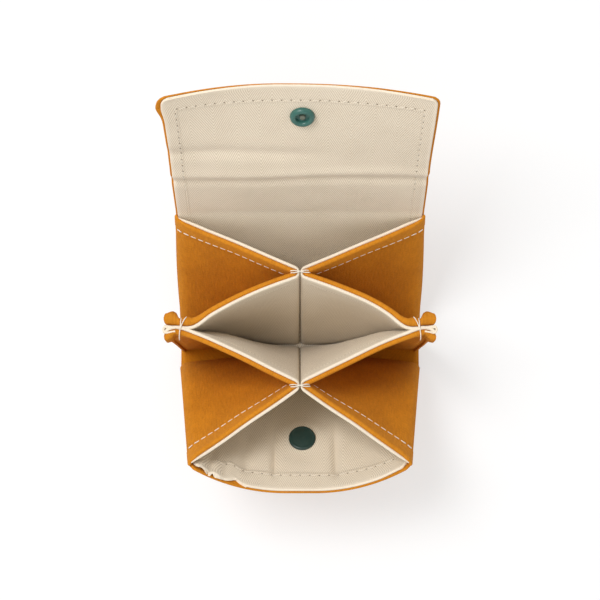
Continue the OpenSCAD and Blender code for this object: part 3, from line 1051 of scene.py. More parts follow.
@dataclass
class Strip:
    """The strip that makes the front, the base, the back and the flap."""

    shape: Shape
    finishes: Finishes
    bend_half: float = 4 * MM
    weave_middle: float = 45.6 * MM
    side_hem: float = 5.8 * MM
    tip_hem: float = 10 * MM
    front_hem: float = 11 * MM
    tip_drop: float = 2.6 * MM
    tip_curl: float = 5.2 * MM
    socket_up: float = 36.3 * MM
    socket_reach: float = 11 * MM
    base_t: float = 0.55 * MM
    base_lining_z: float = 1.15 * MM
    lip_turn: float = 100.0
    # Distance below the tip and length of the left corner's bulge.
    bulge: tuple = (7.5 * MM, 5.5 * MM)
    # Height, size and seed of each length's waves.
    back_wave: tuple = (0.8 * MM, 38 * MM, 3.0)
    flap_wave: tuple = (0.9 * MM, 34 * MM, 7.0)
    front_wave: tuple = (0.7 * MM, 24 * MM, 11.0)
    # Height, place up from the second crease and width of the flap's folds there.
    ridge: tuple = (1.5 * MM, -6.5 * MM, 2.6 * MM)
    dent: tuple = (0.6 * MM, -1 * MM, 2.6 * MM)
    left_ridge: tuple = (1.0 * MM, 13 * MM, 3.6 * MM)
    # Place across, width and depth of the puckers above the front hem.
    puckers: tuple = (
        (-25 * MM, 3.0 * MM, 1.8 * MM),
        (-11.8 * MM, 1.9 * MM, 2.0 * MM),
        (16.5 * MM, 2.2 * MM, 2.2 * MM),
    )

    def build(self) -> None:
        """Makes each length of the strip in canvas and in lining."""
        for layer in Layer:
            self.back(layer)
            self.spine(layer)
            self.cover(layer)
            self.front(layer)
        self.base()

    def finish(self, obj: bpy.types.Object, layer: Layer, size: tuple[float, float]) -> bpy.types.Object:
        """Dresses a length of the strip and logs it.

        Args:
            obj: The piece.
            layer: Canvas or lining.
            size: The cloth's width and height; not used.

        Returns:
            The same piece.
        """
        dress(obj, self.finishes.cloth(layer))
        log.info("made %s", obj.name)
        return obj

    def bend(self, obj: bpy.types.Object, bodies: tuple[str, str], crease: np.ndarray, lean: float) -> None:
        """Bakes a piece's transform into its mesh."""
        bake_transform(obj)

    def bend_cover(self, obj: bpy.types.Object) -> None:
        """Bakes a piece's transform into its mesh."""
        c, k = self.shape.cut, self.shape.creases
        self.bend(obj, ("flap_spine", "flap_cover"), k.second, (c.spine_lean + c.cover_lean) / 2)

    def weave(self, width: float) -> float:
        """Where the weave starts across a cloth, so that chevrons centre on it."""
        return self.weave_middle - width / 2

    def inset(self, layer: Layer) -> float:
        """How far the flap's lining stays inside its canvas at the sides."""
        return 0.0 if layer is Layer.CANVAS else 0.9 * MM

    def back(self, layer: Layer) -> None:
        """The back panel, up to just below the first crease.

        Args:
            layer: Canvas or lining.
        """
        s, c = self.shape, self.shape.cut
        name = layer.name.lower()
        top = c.panel_h + c.flap_stand - self.bend_half
        inset = self.inset(layer)

        def face(u: np.ndarray, v: np.ndarray) -> np.ndarray:
            """The back panel, sagging a little and drawn out at its sides.

            Args:
                u: Share across.
                v: Share up.

            Returns:
                The points.
            """
            half = mix(c.body_w / 2, c.back_half, v)
            narrow = inset * mix(2.4, 1.0, smooth(v, 0.9, 1.0)) / half
            p = s.back((2 * u - 1) * (1 - narrow), v * top / (c.panel_h + c.flap_stand))
            sag = waving(p, self.back_wave) * smooth(v, 0, 0.4) * (1 - smooth(v, 0.8, 1.0))
            p = p + sag[..., None] * out_of(c.back_lean)
            p[..., 0] += np.sign(2 * u - 1) * 0.8 * MM * np.sin(np.pi * v) * np.abs(2 * u - 1)
            return p

        size = (2 * c.back_half, top)
        hems = hems_of(layer, thick=FLAP_HEM, start=self.side_hem, end=self.side_hem)
        start = (self.weave(size[0]), 0)
        obj = cloth(f"back_panel_{name}", face, layer, size, (70, 50), hems, uv_from=start)
        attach(self.finish(obj, layer, size), "back_panel")
        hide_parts(f"back_{name}")

    def waves(self, p: np.ndarray) -> np.ndarray:
        """The flap's gentle waves, none near where it meets the back panel."""
        rise = smooth(p[..., 2], self.shape.creases.first[2], self.shape.creases.first[2] + 20 * MM)
        return waving(p, self.flap_wave) * rise

    def spine(self, layer: Layer) -> None:
        """From below the first crease to midway up the spine.

        Args:
            layer: Canvas or lining.
        """
        s, c, k = self.shape, self.shape.cut, self.shape.creases
        name = layer.name.lower()
        length = self.bend_half + k.spine_l / 2
        inset = self.inset(layer)

        def face(u: np.ndarray, v: np.ndarray) -> np.ndarray:
            """The spine's lower half, bent over the first crease.

            Args:
                u: Share across.
                v: Share up.

            Returns:
                The points.
            """
            along = v * length - self.bend_half
            x = (2 * u - 1) * (c.back_half - inset)
            below = s.flap(k.first, c.back_lean, x, along)
            above = s.flap(k.first, c.spine_lean, x, along)
            p = mix(below, above, smooth(along, -self.bend_half, self.bend_half)[..., None])
            return p + self.waves(p)[..., None] * out_of(c.spine_lean)

        size = (2 * c.back_half, length)
        hems = hems_of(layer, thick=FLAP_HEM, start=self.side_hem, end=self.side_hem)
        start = (self.weave(size[0]), c.panel_h + c.flap_stand - self.bend_half)
        obj = cloth(f"spine_{name}", face, layer, size, (70, 24), hems, uv_from=start)
        self.finish(obj, layer, size)
        self.bend(obj, ("back_panel", "flap_spine"), k.first, (c.back_lean + c.spine_lean) / 2)
        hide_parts(f"flap_spine_{name}")

    def cover_face(self, layer: Layer) -> tuple[Surface, float]:
        """The shared face of the flap's upper length, and that length.

        Args:
            layer: The canvas ends a little short of the lining at the tip.

        Returns:
            The face, from midway up the spine to the tip, and its length.
        """
        s, c, k = self.shape, self.shape.cut, self.shape.creases
        inset = self.inset(layer)
        half = k.spine_l / 2
        length = half + c.cover_l - (0.5 * MM if layer is Layer.CANVAS else 0.0)

        def face(u: np.ndarray, v: np.ndarray) -> np.ndarray:
            """The cover, bent over the second crease, with its folds and waves.

            Args:
                u: Share across.
                v: Share up.

            Returns:
                The points.
            """
            x_share = 2 * u - 1
            drop = self.tip_drop * x_share**2
            along = v * (length - drop) - half
            near = np.clip(1 - (1 - v) * length / c.flap_corner_r, 0, 1)
            narrow = c.flap_corner_r * (1 - np.sqrt(1 - near**2))
            x = x_share * (c.back_half - inset + 0.9 * MM * smooth(along, 0.0, c.cover_l) - narrow)
            loose = hump((1 - v) * length, *self.bulge) * smooth(-x_share, 0.85, 1.0)
            x = x - (2.0 * MM if layer is Layer.CANVAS else 0.8 * MM) * loose
            below = s.flap(k.second, c.spine_lean, x, along)
            curl = self.tip_curl * s.bow(x_share) * np.maximum(along, 0) / c.cover_l
            above = s.flap(k.second, c.cover_lean, x, along) - curl[..., None] * out_of(c.cover_lean)
            p = mix(below, above, smooth(along, -self.bend_half, self.bend_half)[..., None])
            wander = 1.2 * MM * np.sin(x / (19 * MM) + 0.6)
            (ridge, ridge_at, ridge_w), (dent, dent_at, dent_w) = self.ridge, self.dent
            left, left_at, left_w = self.left_ridge
            fold = ridge * hump(along, ridge_at + wander, ridge_w)
            fold = fold - dent * hump(along, dent_at + wander, dent_w)
            fold = fold + left * hump(along, left_at - wander, left_w) * smooth(-x, -20 * MM, 10 * MM)
            near_snap = (x - c.snap_x) ** 2 + (along - self.socket_up) ** 2
            snap = np.exp(-near_snap / self.socket_reach**2)
            fold = fold * smooth(along, -half, -half + 6 * MM)
            return p + (self.waves(p) * (1 - snap) + fold)[..., None] * out_of(c.cover_lean)

        return face, length

    def cover(self, layer: Layer) -> None:
        """From midway up the spine, over the second crease, to the flap's tip.

        Args:
            layer: Canvas or lining.
        """
        c, k = self.shape.cut, self.shape.creases
        name = layer.name.lower()
        face, length = self.cover_face(layer)
        size = (2 * c.back_half, length)
        hems = hems_of(layer, thick=FLAP_HEM, start=self.side_hem, end=self.side_hem, top=self.tip_hem)
        start = (self.weave(size[0]), c.panel_h + c.flap_stand + k.spine_l / 2)
        obj = cloth(f"cover_{name}", face, layer, size, (80, 66), hems, uv_from=start)
        self.finish(obj, layer, size)
        self.bend_cover(obj)
        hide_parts(f"flap_cover_{name}")

    def front_face(self, layer: Layer) -> Surface:
        """The front panel's shared face, with the puckers above its hem.

        Args:
            layer: The lining is tucked and crumpled in the left corner.

        Returns:
            The face, as a function of the shares across and up.
        """
        s, c = self.shape, self.shape.cut

        def face(u: np.ndarray, v: np.ndarray) -> np.ndarray:
            """The front panel with its puckers and its crumpled corner.

            Args:
                u: Share across.
                v: Share up.

            Returns:
                The points.
            """
            x_share = 2 * u - 1
            tucked = 0.0
            if layer is Layer.LINING:
                x = x_share * (c.body_w / 2 - c.front_draw)
                loose = 2.6 * MM * hump(x, -32 * MM, 2.9 * MM) + 0.5 * MM * smooth(-x, 36 * MM, 46 * MM)
                tucked = 0.1 * MM + loose + 0.25 * MM * np.sin(x * 1300) * smooth(-x, 34 * MM, 40 * MM)
                tucked = tucked + 0.5 * MM * smooth(x, 38 * MM, 48 * MM)
                x_share = x_share * (1 - 1.6 * MM / c.body_w * 2)
            near = np.clip(1 - (1 - v) * c.panel_h / c.flap_corner_r, 0, 1)
            x_share = x_share * (1 - c.flap_corner_r * (1 - np.sqrt(1 - near**2)) / (49.5 * MM))
            p = s.front(x_share, v * (1 - tucked / c.panel_h))
            x = p[..., 0]
            depth = sum(d * hump(x, at, w) for at, w, d in self.puckers)
            depth = depth * smooth(v, 0.5, 0.75) * (1 - smooth(v, 0.82, 0.95))
            loose = smooth(v, 0.2, 0.6) * (1 - smooth(v, 0.9, 1.0))
            depth = depth + waving(p, self.front_wave) * loose
            if layer is Layer.LINING:
                crumple = smooth(-x, 28 * MM, 42 * MM) * smooth(v, 0.72, 0.95)
                depth = depth - 0.9 * MM * crumple * (1 + np.sin(x * 900 + 4 * v))
                depth = depth - lifted(x - c.snap_x, v * c.panel_h - c.stud_up)
            return p + depth[..., None] * out_of(c.front_lean) * np.array([1, -1, 1])

        return face

    def front(self, layer: Layer) -> None:
        """The front panel.

        Args:
            layer: Canvas or lining.
        """
        c = self.shape.cut
        name = layer.name.lower()
        size = (c.body_w - c.front_draw, c.panel_h)
        thick = FRONT_CANVAS_HEM if layer is Layer.CANVAS else FRONT_LINING_HEM
        hems = hems_of(layer, thick=thick, start=self.side_hem, end=self.side_hem, top=self.front_hem)
        start = (self.weave(size[0]), 0.0)
        face = self.front_face(layer)
        obj = cloth(f"front_panel_{name}", face, layer, size, (110, 60), hems, flipped=True, uv_from=start)
        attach(self.finish(obj, layer, size), "front_panel")
        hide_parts(f"front_{name}")

    def base(self) -> None:
        """The flat base, its canvas turned up a little at both folds."""
        c, k = self.shape.cut, self.shape.creases
        lip_r = k.hinge_z - self.base_t
        lip = math.radians(self.lip_turn) * lip_r

        def canvas(u: np.ndarray, v: np.ndarray) -> np.ndarray:
            """The outer cloth, turned up at both folds.

            Args:
                u: Share across.
                v: Share up.

            Returns:
                The points.
            """
            run = (v - 0.5) * 2 * (k.hinge_y + lip)
            flat = np.clip(run, -k.hinge_y, k.hinge_y)
            turn = (np.abs(run) - k.hinge_y).clip(0) / lip_r
            y = flat + np.sign(run) * lip_r * np.sin(turn)
            z = k.hinge_z - lip_r * np.cos(turn)
            return np.stack([(u - 0.5) * c.body_w, y, z], -1)

        def lining(u: np.ndarray, v: np.ndarray) -> np.ndarray:
            """The flat inner cloth."""
            x = (u - 0.5) * (c.body_w - 4 * c.seam_inset)
            return np.stack([x, (v - 0.5) * 2 * k.hinge_y, np.full_like(u, self.base_lining_z)], -1)

        hem = 2 * MM
        hems = Hems(start=hem, end=hem, foot=hem, top=hem, thick=self.base_t, plain=self.base_t)
        size = (c.body_w, 2 * (k.hinge_y + lip))
        obj = cloth("base_canvas_sheet", canvas, Layer.CANVAS, size, (60, 40), hems)
        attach(self.finish(obj, Layer.CANVAS, size), "base")
        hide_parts("base_canvas")
        size = (c.body_w - 4 * c.seam_inset, 2 * k.hinge_y)
        obj = cloth("base_lining_sheet", lining, Layer.LINING, size, (60, 16), hems)
        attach(self.finish(obj, Layer.LINING, size), "base")
        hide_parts("base_lining")


@dataclass
class Gussets:
    """The W-folded strips at both sides, each leg a piece."""

    shape: Shape
    finishes: Finishes
    outer_l: float = 57 * MM
    inner_l: float = 61 * MM
    back_hem: float = 7.4 * MM
    front_hem: float = 10.5 * MM
    tack_in: float = 7 * MM
    loop_y: float = -0.6 * MM
    loop_r: float = 1.9 * MM
    back_splay: float = 0.4 * MM
    front_splay: float = 1.5 * MM
    # How far each row's pinched tip puffs out, and how far the cloth behind its thread does.
    back_puff: tuple = (4.4 * MM, 2.1 * MM)
    front_puff: tuple = (1.1 * MM, 0.3 * MM)
    roll_in: float = 0.4 * MM
    wave_h: float = 0.9 * MM
    wave_l: float = 26 * MM
    # Distances from the middle between which a leg could pass from one body to the next.
    outer_bend: tuple = (6 * MM, 52 * MM)
    inner_bend: tuple = (47 * MM, 4 * MM)
    floor_size: tuple = (56 * MM, 10 * MM)
    floor_up: float = 2.45 * MM
    tip_hem: float = 4 * MM

    def build(self) -> None:
        """Makes the outer and inner leg of each half strip, in both layers."""
        for side in Side:
            for row in Row:
                for layer in Layer:
                    self.outer(side, row, layer)
                    self.inner(side, row, layer)
                self.pleat_floor(side, row)
            self.pinch_loop(side)

    def name(self, side: Side, row: Row, kind: str) -> str:
        """The name of one piece of a gusset."""
        return f"gusset_{side.name.lower()}_{row.name.lower()}_{kind}"

    def place(self, side: Side, row: Row) -> np.ndarray:
        """Mirrors a right back point to its own side and row."""
        return np.array([side.value, row.value, 1.0])

    def wavy(self, p: np.ndarray, u: np.ndarray, v: np.ndarray, seed: float) -> np.ndarray:
        """Lets a leg wave a little where nothing holds it.

        Args:
            p: Points of the leg.
            u: Share across.
            v: Share up.
            seed: Shifts the waves.

        Returns:
            The moved points.
        """
        loose = np.sin(np.pi * np.clip(u, 0, 1)) * smooth(v, 0.0, 0.3)
        wave = self.wave_h * ripple(p, self.wave_l, seed) * loose
        return p + wave[..., None] * np.array([0.2, 0.95, -0.2])

    def bend_outer(self, obj: bpy.types.Object) -> None:
        """Bakes the transform of a piece on an outer leg into its mesh.

        Args:
            obj: The piece.
        """
        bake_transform(obj)

    def hem(self, row: Row) -> float:
        """Width of a row's hems."""
        return self.back_hem if row is Row.BACK else self.front_hem

    def seed(self, side: Side, row: Row) -> float:
        """Makes each leg wave its own way."""
        return 20.0 + 3 * side.value + 7 * row.value

    def outer_face(self, side: Side, row: Row, layer: Layer) -> Surface:
        """The leg from the panel's seam to the middle of the tied fold.

        Args:
            side: The left or the right side.
            row: The back or the front row of folds.
            layer: Canvas or lining.

        Returns:
            The face, as a function of the shares across and up.
        """
        s = self.shape
        turned = 0.07

        def face(u: np.ndarray, v: np.ndarray) -> np.ndarray:
            """The outer leg, its canvas rolled over the seam.

            Args:
                u: Share across.
                v: Share up.

            Returns:
                The points.
            """
            p = s.outer_leg(row, u, v)
            if layer is Layer.CANVAS:
                edge = s.edge(row, v)
                start = s.outer_leg(row, np.full_like(u, turned), v)
                corner = s.seam(row, v) - np.array([self.roll_in, 0, 0])
                t = np.clip(u / turned, 0, 1)[..., None]
                rolled = mix(mix(edge, corner, t), mix(corner, start, t), t)
                p = np.where((u < turned)[..., None], rolled, p)
            return self.wavy(p, u, v, self.seed(side, row)) * self.place(side, row)

        return face

    def inner_face(self, side: Side, row: Row) -> Surface:
        """The leg from the middle of the tied fold to the pinched fold.

        Args:
            side: The left or the right side.
            row: The back or the front row of folds.

        Returns:
            The face, as a function of the shares across and up.
        """
        s = self.shape
        splay = self.back_splay if row is Row.BACK else self.front_splay

        def face(u: np.ndarray, v: np.ndarray) -> np.ndarray:
            """The inner leg, splayed at its tip.

            Args:
                u: Share across.
                v: Share up.

            Returns:
                The points.
            """
            p = s.inner_leg(row, u, v)
            tip = 1 - smooth((1 - u) * self.inner_l, 1 * MM, self.tack_in)
            p[..., 1] += splay * tip * smooth(v, 0.6, 0.85)
            return self.wavy(p, u, v, self.seed(side, row)) * self.place(side, row)

        return face

    def outer(self, side: Side, row: Row, layer: Layer) -> None:
        """Makes an outer leg in one layer.

        Args:
            side: The left or the right side.
            row: The back or the front row of folds.
            layer: Canvas or lining.
        """
        kind = layer.name.lower()
        size = (self.outer_l, self.shape.cut.gusset_h)
        hems = hems_of(layer, top=self.hem(row), fold=(1 - FOLD_FROM) * size[0])
        obj = cloth(
            self.name(side, row, f"outer_{kind}"),
            self.outer_face(side, row, layer),
            layer,
            size,
            (70, 40),
            hems,
            flipped=side.value * row.value < 0,
        )
        self.finish(obj, layer, size)
        self.bend_outer(obj)
        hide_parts(self.name(side, row, kind))

    def inner(self, side: Side, row: Row, layer: Layer) -> None:
        """Makes an inner leg in one layer, puffed at the pinched fold.

        Args:
            side: The left or the right side.
            row: The back or the front row of folds.
            layer: Canvas or lining.
        """
        kind = layer.name.lower()
        size = (self.inner_l, self.shape.cut.gusset_h)
        hems = hems_of(layer, top=self.hem(row), end=self.tip_hem, fold=-(1 - FOLD_FROM) * size[0])
        puff, after = self.back_puff if row is Row.BACK else self.front_puff

        def swell(from_end: np.ndarray, from_top: np.ndarray) -> np.ndarray:
            """The puffed lobe at the tip and the smaller one behind its thread.

            Args:
                from_end: Distance from the pinched fold.
                from_top: Distance from the top.

            Returns:
                The thickness to add.
            """
            full = 0.7 + 0.3 * hump(from_end, 4.6 * MM, 3.2 * MM)
            lobe = puff * (1 - smooth(from_end, 7.6 * MM, 10.2 * MM)) * full
            behind = after * hump(from_end, 14.5 * MM, 5.5 * MM)
            return (lobe + behind) * (1 - smooth(from_top, 9 * MM, 20 * MM))

        obj = cloth(
            self.name(side, row, f"inner_{kind}"),
            self.inner_face(side, row),
            layer,
            size,
            (76, 40),
            hems,
            flipped=side.value * row.value < 0,
            swell=swell if layer is Layer.CANVAS else None,
        )
        self.finish(obj, layer, size)
        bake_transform(obj)

    def pleat_floor(self, side: Side, row: Row) -> None:
        """Closes the foot of a pleat between its two legs.

        Args:
            side: The left or the right side.
            row: The back or the front row of folds.
        """
        s = self.shape

        def face(u: np.ndarray, v: np.ndarray) -> np.ndarray:
            """The pleat's foot, between its two legs.

            Args:
                u: Share across.
                v: Share up.

            Returns:
                The points.
            """
            foot = np.zeros_like(u)
            near, far = s.inner_leg(row, u, foot), s.outer_leg(row, 1 - u, foot)
            p = mix(near, far, v[..., None])
            p[..., 2] = self.floor_up
            return p * self.place(side, row)

        hems = Hems(end=2 * MM, thick=0.6 * MM, plain=0.6 * MM)
        size = self.floor_size
        name = self.name(side, row, "floor")
        obj = cloth(name, face, Layer.CANVAS, size, (40, 6), hems, flipped=side.value * row.value > 0)
        dress(obj, self.finishes.canvas)
        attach(obj, "base")

    def pinch_loop(self, side: Side) -> None:
        """The lining that turns round inside a pinched fold's tip.

        Args:
            side: The left or the right side.
        """
        s, c = self.shape, self.shape.cut
        reach, deep = 4 * MM, 16 * MM

        def face(u: np.ndarray, v: np.ndarray) -> np.ndarray:
            """The lining's turn round the inside of the tip.

            Args:
                u: Share across.
                v: Share up.

            Returns:
                The points.
            """
            run = 2 * u - 1
            up = 1 - (1 - v) * deep / c.gusset_h
            turn = np.clip(run / 0.5, -1, 1) * math.pi / 2
            straight = np.maximum(np.abs(run) - 0.5, 0) / 0.5
            x = s.pinch(up)[..., 0] - 1.2 * MM + self.loop_r * np.cos(turn) - reach * straight
            y = self.loop_y + self.loop_r * np.sin(turn) * (1 - 0.35 * straight)
            return np.stack([x, y, s.pinch(up)[..., 2]], -1) * np.array([side.value, 1, 1])

        size = (2 * reach + math.pi * self.loop_r, deep)
        hems = Hems(top=self.tip_hem, thick=1.0 * MM, plain=0.9 * MM)
        name = f"pinch_loop_{side.name.lower()}"
        obj = cloth(name, face, Layer.LINING, size, (30, 12), hems, flipped=side.value > 0)
        dress(obj, self.finishes.lining)
        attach(obj, "base")

    def finish(self, obj: bpy.types.Object, layer: Layer, size: tuple[float, float]) -> None:
        """Dresses one leg and logs it.

        Args:
            obj: The piece.
            layer: Canvas or lining.
            size: The cloth's width and height; not used.
        """
        dress(obj, self.finishes.cloth(layer))
        log.info("made %s", obj.name)


def stitch_line(
    name: str,
    points: np.ndarray,
    normals: np.ndarray,
    pitch: float,
    length: float,
    radius: float,
) -> bpy.types.Object:
    """Sews a row of stitches along a line, each a short rounded piece of thread.

    Args:
        name: The piece's name.
        points: The line that they follow on the cloth.
        normals: The cloth's outward direction at each point.
        pitch: Distance from one stitch to the next.
        length: A stitch's length.
        radius: The thread's radius.

    Returns:
        The row of stitches as one object.
    """
    bpy.ops.object.select_all(action="DESELECT")
    bpy.ops.mesh.primitive_uv_sphere_add(segments=8, ring_count=6, radius=radius, location=(0, 0, 0))
    first = bpy.context.object
    for vertex in first.data.vertices:
        vertex.co.x += math.copysign(length / 2 - radius, vertex.co.x) if abs(vertex.co.x) > 1e-6 else 0.0
        vertex.co.z *= 0.75
    first.data.shade_smooth()
    run = np.concatenate([[0], np.cumsum(np.linalg.norm(np.diff(points, axis=0), axis=1))])
    row = []
    for at in np.arange(pitch / 2, run[-1] - pitch / 2, pitch):
        spot, ahead, behind, out = (
            np.array([np.interp(x, run, data[:, k]) for k in range(3)])
            for x, data in ((at, points), (at + length / 2, points), (at - length / 2, points), (at, normals))
        )
        along = Vector(ahead - behind).normalized()
        out = Vector(out)
        side = out.cross(along).normalized()
        turn = Matrix((along, side, along.cross(side))).transposed().to_4x4()
        stitch = bpy.data.objects.new(name, first.data.copy())
        stitch.data.transform(Matrix.Translation(Vector(spot)) @ turn)
        bpy.context.scene.collection.objects.link(stitch)
        row.append(stitch)
    bpy.data.objects.remove(first)
    bpy.ops.object.select_all(action="DESELECT")
    for stitch in row:
        stitch.select_set(True)
    bpy.context.view_layer.objects.active = row[0]
    bpy.ops.object.join()
    row[0].name = name
    return row[0]


def thread(name: str, strands: list[list[tuple[float, float, float]]], radius: float) -> bpy.types.Object:
    """Lays smooth strands of thread through points, as one object.

    Args:
        name: The piece's name.
        strands: The points of each strand.
        radius: The thread's radius.

    Returns:
        The strands as a mesh.
    """
    curve = bpy.data.curves.new(name, "CURVE")
    curve.dimensions = "3D"
    curve.bevel_depth = radius
    curve.bevel_resolution = 2
    curve.use_fill_caps = True
    for strand in strands:
        spline = curve.splines.new("NURBS")
        spline.points.add(len(strand) - 1)
        for point, place in zip(spline.points, strand):
            point.co = (*place, 1.0)
        spline.order_u = 3
        spline.use_endpoint_u = True
        spline.resolution_u = 5
    obj = bpy.data.objects.new(name, curve)
    bpy.context.scene.collection.objects.link(obj)
    select_only(obj)
    bpy.ops.object.convert(target="MESH")
    obj = bpy.context.object
    bpy.ops.object.shade_smooth_by_angle(angle=math.radians(60))
    return obj


@dataclass
class Threads:
    """The topstitching and the thread tacks."""

    shape: Shape
    finishes: Finishes
    pitch: float = 3.6 * MM
    stitch_l: float = 2.6 * MM
    thread_r: float = 0.3 * MM
    flap_pitch: float = 3.9 * MM
    flap_r: float = 0.28 * MM
    front_pitch: float = 4.4 * MM
    front_r: float = 0.26 * MM
    pinch_x: float = 53 * MM
    pinch_up: float = 2.15 * MM

    def build(self) -> None:
        """Sews the hems and ties the folds."""
        gussets = Gussets(self.shape, self.finishes)
        for side in Side:
            for row in Row:
                self.gusset_hem(gussets, side, row)
        self.flap_hem()
        self.front_hem()
        for row in Row:
            self.tie(row)
        for side in Side:
            self.pinch(side)

    def on_face(self, face: Surface, us: np.ndarray, vs: np.ndarray, lift: float) -> Line:
        """Points a little off a face, and the face's normals there.

        Args:
            face: The shared face.
            us: Shares across.
            vs: Shares up.
            lift: Distance from the face, along its normal.

        Returns:
            The points and the unit normals, turned the way of the lift.
        """
        d = 1e-3
        p = face(us, vs)
        normal = unit(np.cross(face(us + d, vs) - face(us - d, vs), face(us, vs + d) - face(us, vs - d)))
        return p + normal * lift, normal * np.sign(lift)

    def sew(self, name: str, line: Line, pitch: float, length: float) -> bpy.types.Object:
        """Sews one line of stitches and dresses it.

        Args:
            name: The piece's name.
            line: The points and the cloth's normals there.
            pitch: Distance from one stitch to the next.
            length: A stitch's length.

        Returns:
            The row of stitches.
        """
        obj = stitch_line(name, *line, pitch, length, self.thread_r)
        log.info("sewed %s", name)
        return dress(obj, self.finishes.thread)

    def sunk(self, hem: str, line: Line, thread_of: tuple, parts: tuple) -> list[bpy.types.Object]:
        """Sews pale stitches in the lining, and between them dark thread that paints the shadow in the stitch
        holes.

        Args:
            hem: The hem that they are sewn in.
            line: The points and the cloth's normals there.
            thread_of: Distance from one stitch to the next, and the thread's radius.
            parts: For the stitches and the painted hole shadows, their length and how many points of the line
                they skip.

        Returns:
            The stitches and the holes.
        """
        pitch, radius = thread_of
        # The second kind is dark thread that paints the shadow in the stitch holes.
        kinds = (("stitching", self.finishes.pale_thread), ("stitch_holes", self.finishes.hole_shadow))
        made = []
        for (kind, material), (length, shift) in zip(kinds, parts):
            points, normals = line[0][shift:], line[1][shift:]
            obj = stitch_line(f"{hem}_{kind}", points, normals, pitch, length, radius)
            made.append(dress(obj, material))
        return made

    def gusset_hem(self, gussets: Gussets, side: Side, row: Row) -> None:
        """The topstitching below an outer leg's hem, on the canvas.

        Args:
            gussets: The gussets that it is sewn to.
            side: The left or the right side.
            row: The back or the front row of folds.
        """
        face = gussets.outer_face(side, row, Layer.CANVAS)
        us = np.linspace(0.03, 0.94, 120)
        vs = np.full_like(us, 1 - STITCH_AT * gussets.hem(row) / self.shape.cut.gusset_h)
        sign = -1 if side.value * row.value > 0 else 1
        line = self.on_face(face, us, vs, sign * (hems_of(Layer.CANVAS).groove + 0.08 * MM))
        obj = self.sew(gussets.name(side, row, "stitching"), line, self.pitch, self.stitch_l)
        gussets.bend_outer(obj)

    def hem_line(self, width: float, length: float, side_hem: float, top_hem: float) -> Line:
        """Lays a line up one side hem, along the top and down the other side.

        Args:
            width: The cloth's width.
            length: The cloth's length.
            side_hem: Distance from the sides.
            top_hem: Distance from the top.

        Returns:
            Shares across and up along the line.
        """
        left, up = side_hem / width, 1 - top_hem / length
        sides = np.linspace(0.02, up, 60)
        across = np.linspace(left, 1 - left, 120)
        us = np.concatenate([np.full(60, left), across[1:-1], np.full(60, 1 - left)])
        vs = np.concatenate([sides, np.full(118, up), sides[::-1]])
        return us, vs

    def flap_hem(self) -> None:
        """The lining-coloured topstitching round the flap, with painted shadow in its stitch holes."""
        c = self.shape.cut
        strip = Strip(self.shape, self.finishes)
        face, length = strip.cover_face(Layer.LINING)
        us, vs = self.hem_line(2 * c.back_half, length, STITCH_AT * strip.side_hem, STITCH_AT * strip.tip_hem)
        line = self.on_face(face, us, vs, hems_of(Layer.LINING, thick=FLAP_HEM).groove + 0.05 * MM)
        for obj in self.sunk("flap", line, (self.flap_pitch, self.flap_r), ((2.5 * MM, 0), (0.9 * MM, 9))):
            strip.bend_cover(obj)

    def front_hem(self) -> None:
        """The lining-coloured topstitching along the front panel's hem, with painted shadow in its stitch
        holes.
        """
        c = self.shape.cut
        strip = Strip(self.shape, self.finishes)
        face = strip.front_face(Layer.LINING)
        us = np.linspace(0.12, 0.97, 160)
        vs = np.full_like(us, 1 - STITCH_AT * strip.front_hem / c.panel_h)
        line = self.on_face(face, us, vs, -hems_of(Layer.LINING, thick=FRONT_LINING_HEM).groove - 0.05 * MM)
        for obj in self.sunk("front", line, (self.front_pitch, self.front_r), ((3.0 * MM, 0), (0.8 * MM, 3))):
            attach(obj, "front_panel")

    def tie(self, row: Row) -> None:
        """The thread that ties the left and the right fold together.

        Args:
            row: The back or the front row of folds.
        """
        top = self.shape.tie(row, np.array(1.0)) * np.array([0, row.value, 1])
        y, z = float(top[1]), float(top[2]) + 0.35 * MM

        def strand(across: float, low: float, aside: float) -> list[tuple[float, float, float]]:
            """One strand over both folds.

            Args:
                across: Half the strand's width.
                low: How far down its ends reach.
                aside: How far it lies from the tie's middle.

            Returns:
                Its points.
            """
            return [
                (-across, y + aside, z - low),
                (-across, y + aside, z - 0.1 * MM),
                (-across * 0.55, y + aside * 1.3, z + 0.55 * MM),
                (0.0, y, z + 0.15 * MM),
                (across * 0.55, y - aside * 1.3, z + 0.55 * MM),
                (across, y - aside, z - 0.1 * MM),
                (across, y - aside, z - low),
            ]

        knot = [(-0.7 * MM, y, z + 0.2 * MM), (0.0, y + 0.3 * MM, z + 0.7 * MM), (0.7 * MM, y, z + 0.2 * MM)]
        strands = [strand(4.6 * MM, 3.5 * MM, 0.35 * MM), strand(4.2 * MM, 3.0 * MM, -0.5 * MM), knot]
        obj = thread(f"{row.name.lower()}_tie_thread", strands, 0.24 * MM)
        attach(dress(obj, self.finishes.thread), f"{row.name.lower()}_folds")
        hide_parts(f"{row.name.lower()}_tie_tack")

    def pinch(self, side: Side) -> None:
        """The thread that closes a pinched fold just inside its tip.

        Args:
            side: The left or the right side.
        """
        z = self.shape.cut.gusset_h + self.pinch_up
        x = self.pinch_x

        def over(lean: float, back: float, start: float) -> list[tuple[float, float, float]]:
            """One strand over the pinched fold, mirrored to its side.

            Args:
                lean: How far it slants.
                back: How far back the strand starts.
                start: Where its front end is.

            Returns:
                Its points.
            """
            path = [
                (x - lean, back, z - 2.2 * MM),
                (x - lean, back - 0.2 * MM, z - 0.3 * MM),
                (x - lean * 0.6, back - 1.6 * MM, z + 0.35 * MM),
                (x, 0.0, z + 0.25 * MM),
                (x + 0.3 * MM, -2.4 * MM, z + 0.35 * MM),
                (x + 0.4 * MM, start + 0.2 * MM, z - 0.3 * MM),
                (x + 0.4 * MM, start, z - 2.4 * MM),
            ]
            return [(side.value * a, b, c) for a, b, c in path]

